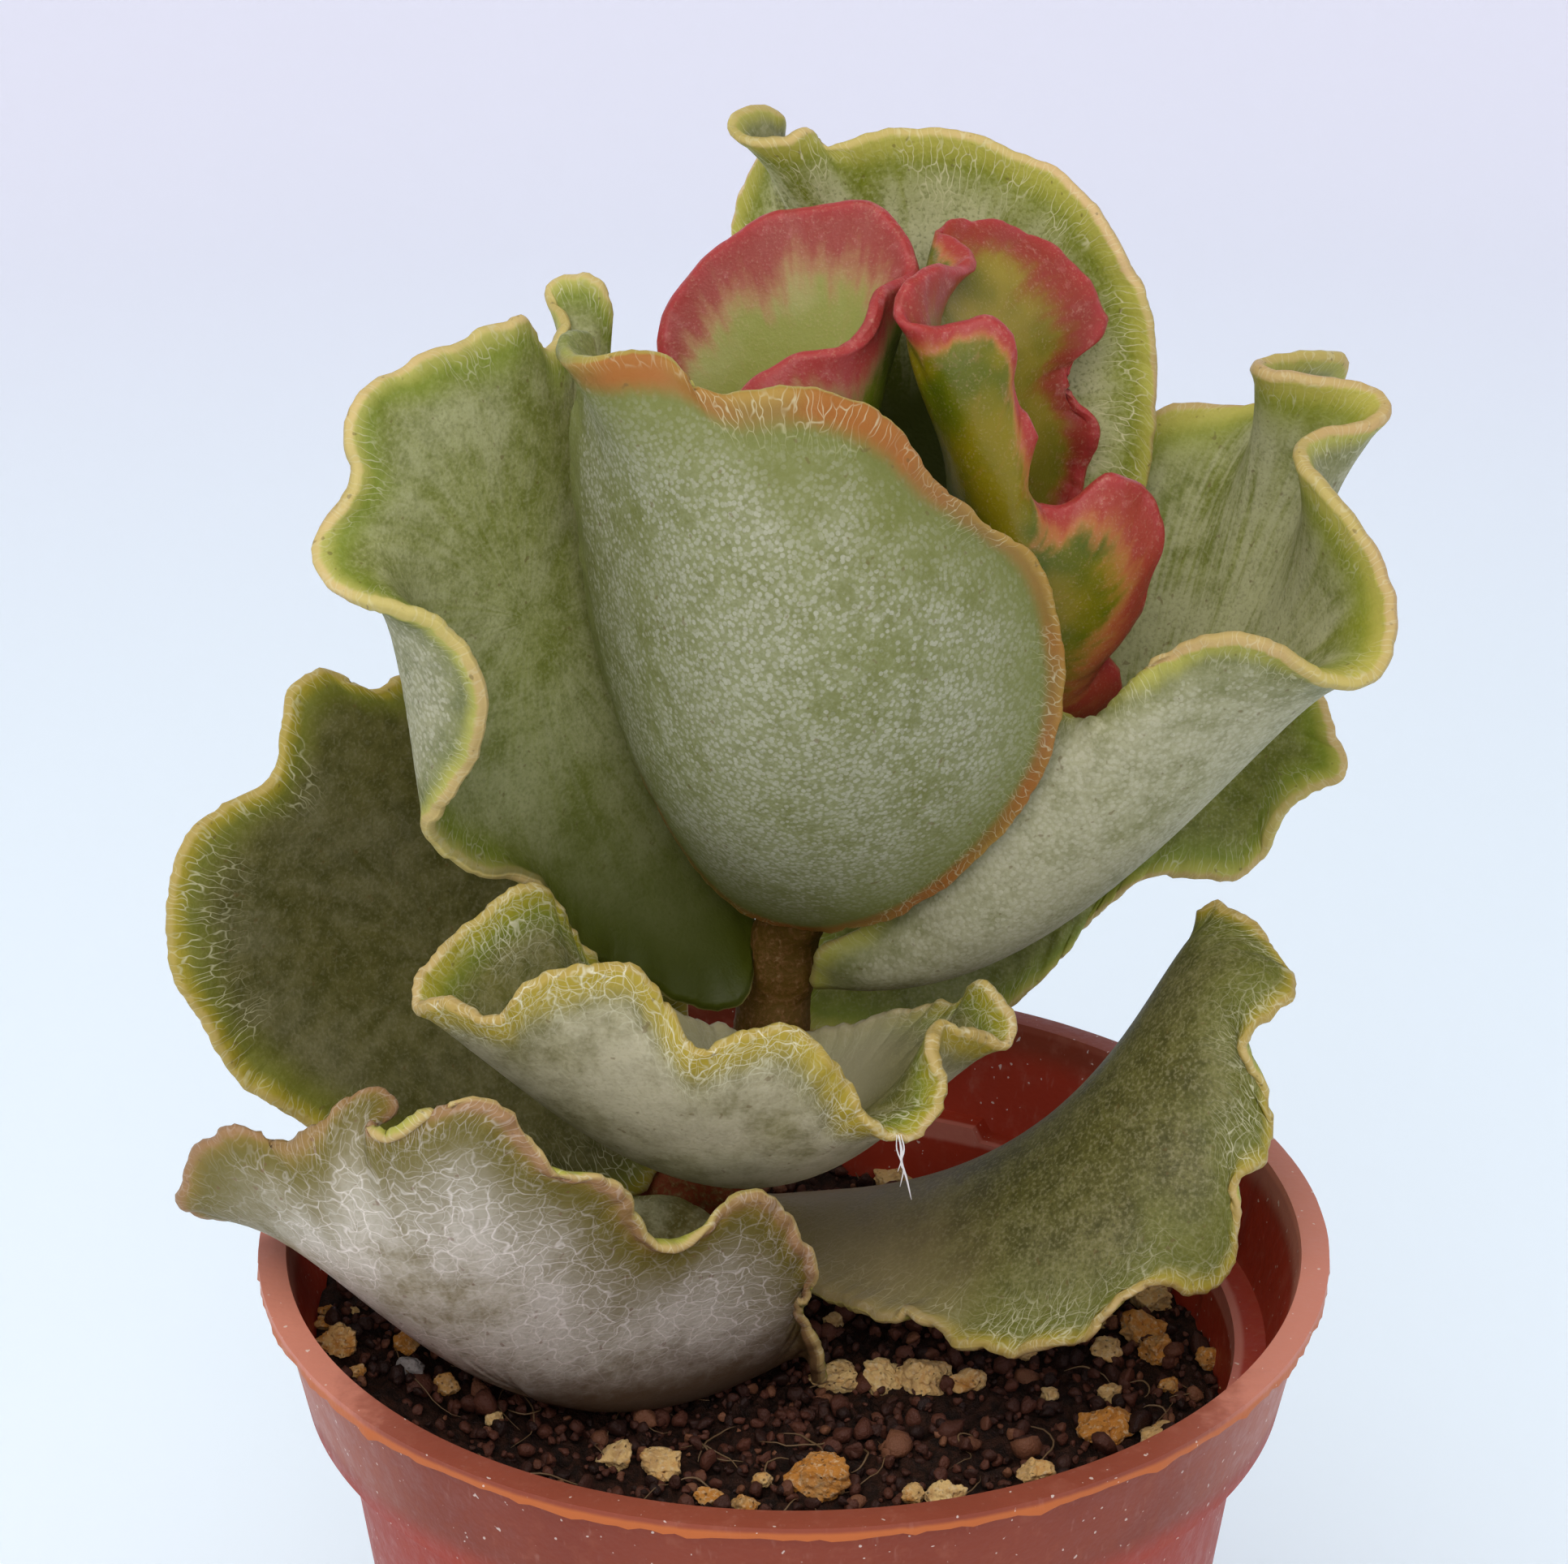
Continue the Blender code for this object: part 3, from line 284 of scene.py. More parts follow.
            (1247, 1671, -7.5), (1278, 1657, -8.0), (1323, 1657, -8.0), (1359, 1627, -8.0),
            (1385, 1594, -7.8), (1431, 1586, -7.5), (1487, 1591, -7.0), (1520, 1556, -6.3),
            (1526, 1509, -6.0), (1522, 1463, -5.5), (1553, 1438, -4.5), (1566, 1402, -3.5),
            (1563, 1356, -3.0), (1539, 1315, -2.5), (1533, 1280, -2.0), (1563, 1252, -1.0),
            (1602, 1218, 0.5), (1579, 1180, 2.5), (1548, 1142, 4.0), (1512, 1115, 5.2), (1487, 1115, 6.2),
            (1492, 1160, 7.6), (1482, 1230, 9.0), (1440, 1320, 10.8), (1350, 1400, 12.5),
            (1230, 1450, 14.0), (1100, 1480, 14.3), (1000, 1485, 12.5),
        ],
    },
    "leaf_k": {
        "fade": 0.75, "tip": 20,
        "inside": [
            (1290, 1000, 24.0), (1130, 1130, 19.5), (1450, 900, 25.0),
            (1395, 985, 22.5), (1220, 930, 25.8),
        ],
        "margin": [
            (976, 1258, 14.0), (1060, 1285, 14.5), (1150, 1290, 14.8), (1205, 1270, 15.0),
            (1245, 1242, 15.0), (1264, 1225, 15.3), (1297, 1195, 16.0), (1315, 1167, 17.0),
            (1330, 1149, 17.5), (1365, 1115, 18.0), (1408, 1086, 18.5), (1441, 1079, 19.0),
            (1480, 1082, 19.0), (1518, 1084, 19.0), (1546, 1070, 19.0), (1563, 1041, 19.0),
            (1568, 1017, 19.0), (1613, 981, 19.0), (1659, 955, 19.0), (1648, 907, 20.0),
            (1636, 866, 21.0), (1600, 800, 23.0), (1520, 750, 25.0), (1400, 730, 27.0), (1280, 770, 28.0),
            (1160, 860, 27.5), (1070, 980, 24.5), (1010, 1100, 19.5), (985, 1200, 16.0),
        ],
    },
}
print("spots along the margins:", sum(len(leaf["margin"]) for leaf in LEAVES.values()))

# %% [markdown]
# A curve through the spots rounds the margin between them. It is then cut into even steps, from the
# base to the tip and from the tip back, and turned into waves of growing number.

# %% A smooth margin through the spots
PATH_STEPS = 24
WAVE_SAMPLES = 1024


def smooth_path(points, closed):
    """Close samples along a smooth curve through the points, PATH_STEPS to each span."""
    points = np.asarray(points, dtype=float)
    total = len(points)
    spans = total if closed else total - 1
    share = (np.arange(PATH_STEPS) / PATH_STEPS)[:, None]
    out = []
    for i in range(spans):
        if closed:
            a, b, c, d = (points[(i + k) % total] for k in (-1, 0, 1, 2))
        else:
            a, b, c, d = (points[min(max(i + k, 0), total - 1)] for k in (-1, 0, 1, 2))
        first = max(np.linalg.norm(b - a), 1e-6) ** 0.5
        middle = max(np.linalg.norm(c - b), 1e-6) ** 0.5
        last = max(np.linalg.norm(d - c), 1e-6) ** 0.5
        start = end = (c - b) / middle
        if closed or i > 0:
            start = (b - a) / first - (c - a) / (first + middle) + (c - b) / middle
        if closed or i < spans - 1:
            end = (c - b) / middle - (d - b) / (middle + last) + (d - c) / last
        out.append(
            (2 * share**3 - 3 * share**2 + 1) * b
            + (share**3 - 2 * share**2 + share) * start * middle
            + (3 * share**2 - 2 * share**3) * c
            + (share**3 - share**2) * end * middle
        )
    out.append(points[:1] if closed else points[-1:])
    return np.concatenate(out)


def even_margin(points, tip):
    """The margin in even steps from the base to the tip and on round, and the length of each half."""
    curve = smooth_path(points, True)
    steps = np.linalg.norm(np.diff(curve, axis=0), axis=1)
    reach = np.concatenate([[0.0], np.cumsum(steps)])
    at_tip = reach[tip * PATH_STEPS]
    half = np.arange(WAVE_SAMPLES // 2) / (WAVE_SAMPLES // 2)
    wanted = np.concatenate([half * at_tip, at_tip + half * (reach[-1] - at_tip)])
    loop = np.stack([np.interp(wanted, reach, curve[:, k]) for k in range(3)], axis=1)
    return loop, (at_tip, reach[-1] - at_tip)


# %% The blade between its margins
HIGHEST_WAVE = 40
WAVE_TAPER = 16.0
WAVE_TAPER_END = 4


class Blade:
    """A leaf's middle surface, read by (radius, turn): radius 1 is the margin and turn 0 the base."""

    def __init__(self, leaf):
        loop, self.halves = even_margin([at_depth(*p) for p in leaf["margin"]], leaf["tip"])
        self.order = np.arange(HIGHEST_WAVE + 1)
        taper = np.clip((HIGHEST_WAVE + WAVE_TAPER_END - self.order) / WAVE_TAPER, 0.0, 1.0)
        self.waves = np.fft.rfft(loop, axis=0)[:HIGHEST_WAVE + 1] / WAVE_SAMPLES * taper[:, None]
        self.waves[1:] *= 2.0
        self.power = np.where(self.order <= 2, self.order, 2 + leaf["fade"] * (self.order - 2))
        self.swell = np.zeros((5, 3))
        spots = np.array(INSIDE_AT, dtype=float)
        wanted = np.array([at_depth(*p) for p in leaf["inside"]])
        found = self.place(np.hypot(*spots.T), np.arctan2(spots[:, 0], -spots[:, 1]))
        rows = self.swell_terms(*spots.T)
        self.swell = np.linalg.lstsq(rows, wanted - found, rcond=None)[0]

    @staticmethod
    def swell_terms(u, v):
        rise = 1.0 - u * u - v * v
        return np.stack([rise, rise * u, rise * v, rise * u * u, rise * v * v], axis=-1)

    def place(self, radius, turn):
        fade = np.maximum(radius, 1e-9)[:, None] ** self.power
        swing = fade * np.exp(1j * self.order * turn[:, None])
        u, v = radius * np.sin(turn), -radius * np.cos(turn)
        return np.real(swing @ self.waves) + self.swell_terms(u, v) @ self.swell

    def margin_reach(self, turn):
        """How far along the margin, in millimetres from the base, a turn is."""
        share = turn / math.pi
        first, second = self.halves
        return np.where(share < 1, share * first, first + (share - 1) * second)


blades = {name: Blade(leaf) for name, leaf in LEAVES.items()}
for name, blade in blades.items():
    print(name, "has a margin of", round(float(sum(blade.halves))), "mm")

# %% [markdown]
# The middle surface gets its flesh next. On the real leaf the margin is a rolled bead less than a
# millimetre wide, so the rings of the mesh are closest there, at set distances in from the edge.
# Where the leaf curls tightly its two faces would run through each other, so there it is thinner.

# %% Rings of the mesh
# Lengths are in millimetres; a bead ring is that far in from the margin, or less on a short ray
SEGMENTS = 360
BEAD_RINGS = (0.0, 0.012, 0.05, 0.12, 0.22, 0.34, 0.48, 0.7, 1.0, 1.4)
BEAD_SHARE = 0.45
INNER_RINGS = 19
RAY_SAMPLES = 80


def ring_radii(blade, turn):
    """For each turn, the radii whose distance in from the margin is that of each ring."""
    radius = np.linspace(1.0, 0.0, RAY_SAMPLES)
    grid_r, grid_t = np.meshgrid(radius, turn)
    points = blade.place(grid_r.ravel(), grid_t.ravel()).reshape(len(turn), RAY_SAMPLES, 3)
    steps = np.linalg.norm(np.diff(points, axis=1), axis=2)
    depth = np.concatenate([np.zeros((len(turn), 1)), np.cumsum(steps, axis=1)], axis=1)
    rings = []
    for k in range(len(turn)):
        bead = np.minimum(BEAD_RINGS, np.linspace(0, BEAD_SHARE, len(BEAD_RINGS)) * depth[k, -1])
        inner = np.linspace(bead[-1], depth[k, -1], INNER_RINGS + 2)[1:-1]
        rings.append(np.interp(np.concatenate([bead, inner]), depth[k], radius))
    rings = np.array(rings).T
    depths = [np.interp(1.0 - rings[:, k], 1.0 - radius, depth[k]) for k in range(len(turn))]
    return rings, np.array(depths).T


def ring_faces(rings, around, first=0):
    """The four-sided faces between rings of corners that are numbered one ring after the other."""
    low = first + np.arange(rings - 1)[:, None] * around + np.arange(around)
    after = np.roll(low, -1, axis=1)
    return np.stack([low, after, after + around, low + around], axis=-1).reshape(-1, 4)


def halved(faces, turn_over=False):
    """Each four-sided face as two triangles."""
    ways = ([0, 2, 1], [0, 3, 2]) if turn_over else ([0, 1, 2], [0, 2, 3])
    return np.concatenate([faces[:, way] for way in ways])


# %% Facings of the mesh
def corner_normals(points, faces):
    """The mean facing of the faces at each corner."""
    a, b, c = (points[faces[:, k]] for k in range(3))
    facing = np.cross(b - a, c - a)
    total = np.zeros_like(points)
    for k in range(3):
        np.add.at(total, faces[:, k], facing)
    return total / np.maximum(np.linalg.norm(total, axis=1), 1e-12)[:, None], facing


# %% Thickness
BEAD_RADIUS = 0.40
BLADE_EDGE = 1.0
BLADE_MIDDLE = 1.9
FLESH_START = 3.0
THINNEST = 0.25
THINNING_ROUNDS = 14
THINNING_STEP = 0.82
SMALLEST_SHARE = 0.25
EVENING_ROUNDS = 6


def half_thickness(depth, radius):
    """Half the flesh: a round bead at the margin that runs into the thicker middle."""
    flesh = 0.5 * (BLADE_EDGE + (BLADE_MIDDLE - BLADE_EDGE) * (1 - radius**2))
    inside = np.clip(depth / BEAD_RADIUS, 0.0, 1.0)
    bead = BEAD_RADIUS * np.sqrt(1 - (1 - inside) ** 2)
    share = np.clip((depth - BEAD_RADIUS) / (FLESH_START - BEAD_RADIUS), 0.0, 1.0)
    share = share * share * (3 - 2 * share)
    return bead * (1 - share) + flesh * share


print("thickness 2 mm in from the margin:", round(2 * float(half_thickness(2.0, 0.8)), 2), "mm")


def fleshed(sheet, faces, depth, radius):
    """Each corner's facing and half thickness, thinned where the faces would run through each other."""
    normals, middle = corner_normals(sheet, faces)
    size = (middle**2).sum(axis=1)
    whole = half_thickness(depth, radius)
    half = whole.copy()
    for _ in range(THINNING_ROUNDS):
        lift = normals * half[:, None]
        up = (corner_normals(sheet + lift, faces)[1] * middle).sum(axis=1)
        down = (corner_normals(sheet - lift, faces)[1] * middle).sum(axis=1)
        tight = np.unique(faces[np.minimum(up, down) < SMALLEST_SHARE * size])
        tight = tight[depth[tight] > 0.5 * BEAD_RADIUS]
        if len(tight) == 0:
            break
        half[tight] = np.maximum(half[tight] * THINNING_STEP, np.minimum(THINNEST, whole[tight]))
    share = (half[:-1] / np.maximum(whole[:-1], 1e-6)).reshape(-1, SEGMENTS)
    for _ in range(EVENING_ROUNDS):
        share = np.minimum(share, (share + np.roll(share, 1, 1) + np.roll(share, -1, 1)) / 3)
        padded = np.concatenate([share[:1], share, share[-1:]])
        share = np.minimum(share, (padded[:-2] + share + padded[2:]) / 3)
    half[:-1] = share.ravel() * whole[:-1]
    return normals, half


# %% Crimped margins
CRIMP_RING = 9
CRIMP_REACH = 1.8
NICK_REACH = CRIMP_REACH / 1.6
NICK_SHIFT = 31.0


def crimp(spot, nicks):
    """Waves and smaller nicks, read off the spot itself so that they meet round the margin."""
    at = Vector(spot)
    return noise.noise(at * 0.45) + nicks * (0.7 * noise.noise(at * 1.1) + 0.4 * noise.noise(at * 2.4))


def crimp_margin(sheet, normals, depth, count, frill, nicks):
    """The sheet with its edge waved across the blade and nicked along it, fading inward."""
    margin = sheet[:SEGMENTS]
    inward = sheet[CRIMP_RING * SEGMENTS:(CRIMP_RING + 1) * SEGMENTS] - margin
    inward /= np.linalg.norm(inward, axis=1)[:, None]
    wave = np.append(np.tile([crimp(spot, nicks) for spot in margin], count), 0.0)
    nick = np.append(np.tile([crimp(spot + NICK_SHIFT, nicks) for spot in margin], count), 0.0)
    inward = np.concatenate([np.tile(inward, (count, 1)), np.zeros((1, 3))])
    wave *= frill * np.exp(-((depth / CRIMP_REACH) ** 2))
    nick *= frill * np.exp(-((depth / NICK_REACH) ** 2))
    return sheet + normals * wave[:, None] + inward * nick[:, None]


# %% Both faces of a leaf
MARGIN_LINE = 0.04


def leaf_mesh(blade, frill, nicks):
    """Corners, triangles, and for each corner (along, depth, face) and (u, v) for the finish."""
    turn = 2 * math.pi * np.arange(SEGMENTS) / SEGMENTS
    rings, depths = ring_radii(blade, turn)
    count = len(rings)
    radius = np.append(rings.ravel(), 0.0)
    turns = np.append(np.tile(turn, count), 0.0)
    depth = np.append(depths.ravel(), depths[-1].mean() * 1.03)
    sheet = blade.place(radius, turns)
    last = (count - 1) * SEGMENTS + np.arange(SEGMENTS)
    fan = np.stack([last, np.roll(last, -1), np.full(SEGMENTS, len(sheet) - 1)], axis=1)
    faces = np.concatenate([halved(ring_faces(count, SEGMENTS)), fan])
    sheet = crimp_margin(sheet, corner_normals(sheet, faces)[0], depth, count, frill, nicks)
    normals, half = fleshed(sheet, faces, depth, radius)
    lift = normals * half[:, None]
    back = np.where(faces < SEGMENTS, faces, faces + len(sheet) - SEGMENTS)[:, ::-1]
    u, v = radius * np.sin(turns), -radius * np.cos(turns)
    disc = np.stack([u, v, np.zeros_like(u)], axis=1)
    skin = np.stack([blade.margin_reach(turns), depth, np.where(depth > MARGIN_LINE, 1.0, 0.5)], axis=1)
    other = skin[SEGMENTS:] * [1.0, 1.0, -1.0] + [0.0, 0.0, 1.0]
    return (
        np.concatenate([sheet + lift, (sheet - lift)[SEGMENTS:]]), np.concatenate([faces, back]),
        np.concatenate([skin, other]), np.concatenate([disc, disc[SEGMENTS:]]),
    )


# %% [markdown]
# From the corners and faces comes a piece. It rides on the part's one body, it may stand for a solid
# of the frame, and its corners carry the marks that its finish reads.

# %% Meshes from numbers
def new_piece(name, corners, faces, node=None, slot=None, **marks):
    """A smooth-shaded piece on the one body, with a value or vector on each corner for each mark."""
    mesh = bpy.data.meshes.new(name)
    mesh.from_pydata((np.asarray(corners) * MM).tolist(), [], np.asarray(faces).tolist())
    for mark, values in marks.items():
        values = np.asarray(values, dtype=np.float32)
        kind = "FLOAT" if values.ndim == 1 else "FLOAT_VECTOR"
        key = "value" if values.ndim == 1 else "vector"
        mesh.attributes.new(mark, kind, "POINT").data.foreach_set(key, values.ravel())
    mesh.polygons.foreach_set("use_smooth", np.ones(len(mesh.polygons), dtype=bool))
    mesh.update()
    piece = bpy.data.objects.new(name, mesh)
    bpy.context.scene.collection.objects.link(piece)
    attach(piece, "root")
    if node:
        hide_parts(node)
    return piece


# %% The leaves
# How far the edge of each leaf is crimped, in mm, and how much of the nicks a young leaf has
FRILLS = dict(
    leaf_a=0.16, leaf_b=0.2, leaf_c=0.15, leaf_d=0.15, leaf_e=0.22, leaf_f=0.5,
    leaf_g=0.22, leaf_h=0.34, leaf_i=0.34, leaf_j=0.34, leaf_k=0.2,
)
YOUNG_NICKS = 0.25

leaves = {}
for name, blade in blades.items():
    finish = "young_leaf" if name in ("leaf_e", "leaf_f") else "grown_leaf"
    nicks = YOUNG_NICKS if finish == "young_leaf" else 1.0
    corners, faces, skin, disc = leaf_mesh(blade, FRILLS[name], nicks)
    leaves[name] = new_piece(
        name.replace("leaf", "blade"), corners, faces, name, finish, skin=skin, disc=disc
    )
    print(name, len(faces), "triangles")

# %% [markdown]
# A finish is a small tree of nodes. Made by hand it would be boxes joined by wires. Here a wire can be
# added, multiplied and stepped like a number, so that each finish below reads as a few sums, and a
# paint lays one colour after the other over what is there.

# %% Wires
class Wire:
    """A node's output, which can be used in sums."""

    def __init__(self, paint, socket):
        self.paint, self.socket = paint, socket

    def math(self, operation, other=0.0):
        return self.paint.node("Math", {0: self, 1: other}, operation=operation)

    def __add__(self, other):
        return self.math("ADD", other)

    def __sub__(self, other):
        return self.math("SUBTRACT", other)

    def __mul__(self, other):
        return self.math("MULTIPLY", other)

    def __abs__(self):
        return self.math("ABSOLUTE")

    __radd__, __rmul__ = __add__, __mul__

    def step(self, low, high, first=0.0, last=1.0):
        """A soft step, from first where the value is low to last where it is high."""
        ends = {"Value": self, "From Min": low, "From Max": high, "To Min": first, "To Max": last}
        return self.paint.node("MapRange", ends, interpolation_type="SMOOTHSTEP")


# %% Paints
class Paint:
    """A material, the colour laid so far, and short calls that add nodes to it."""

    def __init__(self, name, roughness, specular=0.5):
        self.material = bpy.data.materials.new(name)
        self.material.use_nodes = True
        self.tree = self.material.node_tree
        self.shader = self.tree.nodes["Principled BSDF"].inputs
        self.put(self.shader["Roughness"], roughness)
        self.put(self.shader["Specular IOR Level"], specular)
        self.spot = self.scaled(self.node("TexCoord", {}, "Object"), 1.0 / MM)

    def put(self, socket, value):
        """Join a wire to a socket, or set the number or colour on it."""
        if isinstance(value, Wire):
            self.tree.links.new(value.socket, socket)
        elif isinstance(value, tuple) and len(value) < len(socket.default_value):
            socket.default_value = (*value, 1.0)
        else:
            socket.default_value = value

    def node(self, kind, inputs, out=0, **settings):
        """A new node with its inputs filled: one wire from it, or a wire for each name in out."""
        made = self.tree.nodes.new("ShaderNode" + kind)
        for key, value in settings.items():
            setattr(made, key, value)
        for key, value in inputs.items():
            self.put(made.inputs[key], value)
        if isinstance(out, tuple):
            return [Wire(self, made.outputs[key]) for key in out]
        return Wire(self, made.outputs[out])

    def scaled(self, where, size):
        return self.node("VectorMath", {0: where, "Scale": size}, operation="SCALE")

    def moved(self, where, way):
        return self.node("VectorMath", {0: where, 1: way}, operation="ADD")

    def parts(self, vector):
        return self.node("SeparateXYZ", {0: vector}, (0, 1, 2))

    def join(self, x, y, z=0.0):
        return self.node("CombineXYZ", {0: x, 1: y, 2: z})

    def mark(self, name, out="Vector"):
        """The value that the mesh holds at each corner under this name."""
        return self.node("Attribute", {}, out, attribute_name=name)

    def noise(self, scale, detail, rough, where=None, flat=False, out="Fac"):
        values = {"Vector": where or self.spot, "Scale": scale, "Detail": detail, "Roughness": rough}
        return self.node("TexNoise", values, out, noise_dimensions="2D" if flat else "3D")

    def cells(self, where, scale, out=("Distance", "Color"), **kind):
        """The distance to the nearest of a scatter of points, and that point's own colour."""
        return self.node("TexVoronoi", {"Vector": where, "Scale": scale}, out, **kind)

    def net(self, where, scale):
        """The distance to the lines of a net, in the plane of the first two coordinates."""
        return self.cells(where, scale, "Distance", feature="DISTANCE_TO_EDGE", voronoi_dimensions="2D")

    def blend(self, share, a, b):
        return self.node("Mix", {"Factor": share, 6: a, 7: b}, 2, data_type="RGBA")

    def lay(self, share, colour):
        """Lay a colour over what is there, as thickly as the share says."""
        self.tone = self.blend(share, self.tone, colour)

    def relief(self, height, depth_mm, strength):
        values = {"Height": height, "Distance": depth_mm * MM, "Strength": strength}
        self.put(self.shader["Normal"], self.node("Bump", values))

    def coat(self, *pieces):
        """Put the finish on the pieces."""
        self.put(self.shader["Base Color"], self.tone)
        for piece in pieces:
            piece.data.materials.clear()
            piece.data.materials.append(self.material)


print("wires and paints are ready")

# %% [markdown]
# The grown leaves carry a coat of pale wax that has cracked into flakes as the leaf grew, and white
# hair-fine veins that run in from a yellow or tan margin. The two faces of a leaf differ, so each has
# its own list of colours and amounts, and the mesh tells the finish which face it is on, how far in
# from the margin it is and how far along.

# %% What each face of a leaf looks like
def face_look(**changes):
    """The colours and amounts of one face, told by how they differ from a common inner face."""
    look = {
        "dark": (0.17, 0.19, 0.035), "light": (0.25, 0.27, 0.070), "bloom": (0.47, 0.46, 0.27),
        "green": (0.21, 0.27, 0.016), "yellow": (0.46, 0.42, 0.08), "tan": (0.50, 0.35, 0.14),
        # Painted shade: the foot colour and foot amounts darken a leaf's foot where other leaves shade it
        "hair": (0.66, 0.63, 0.42), "speck": (0.12, 0.075, 0.02), "deep": (0.065, 0.080, 0.007),
        "fleck": (0.055, 0.060, 0.008),
        "wax": 0.50, "haze": 0.55, "flake": 0.10, "flakes_per_mm": 5.0, "dust": 0.22, "streak": 0.8,
        "green_reach": 3.4, "green_share": 0.8, "zone": 0.9, "band": 0.75, "rim": 0.30,
        "left_band": 1.0, "hairs": 0.45, "hair_reach": 2.6, "web": 0.0, "web_reach": 30.0,
        "web_inset": 0.1, "earth": 0.0, "bead": 0.0, "foot_wide": 1.0, "foot": 0.0, "foot_end": -0.2,
        "foot_start": -0.75,
    }
    look.update(changes)
    return look


def outer_look(**changes):
    """An outer face: paler, with more wax."""
    outer = {
        "dark": (0.18, 0.185, 0.060), "light": (0.26, 0.26, 0.11), "bloom": (0.54, 0.51, 0.37),
        "wax": 0.66, "haze": 0.42, "flake": 0.45, "flakes_per_mm": 3.6, "dust": 0.12, "streak": 0.3,
        # Outer faces carry some painted shade at the foot
        "green_reach": 1.8, "green_share": 0.35, "foot": 0.3, "foot_end": -0.5,
    }
    outer.update(changes)
    return face_look(**outer)
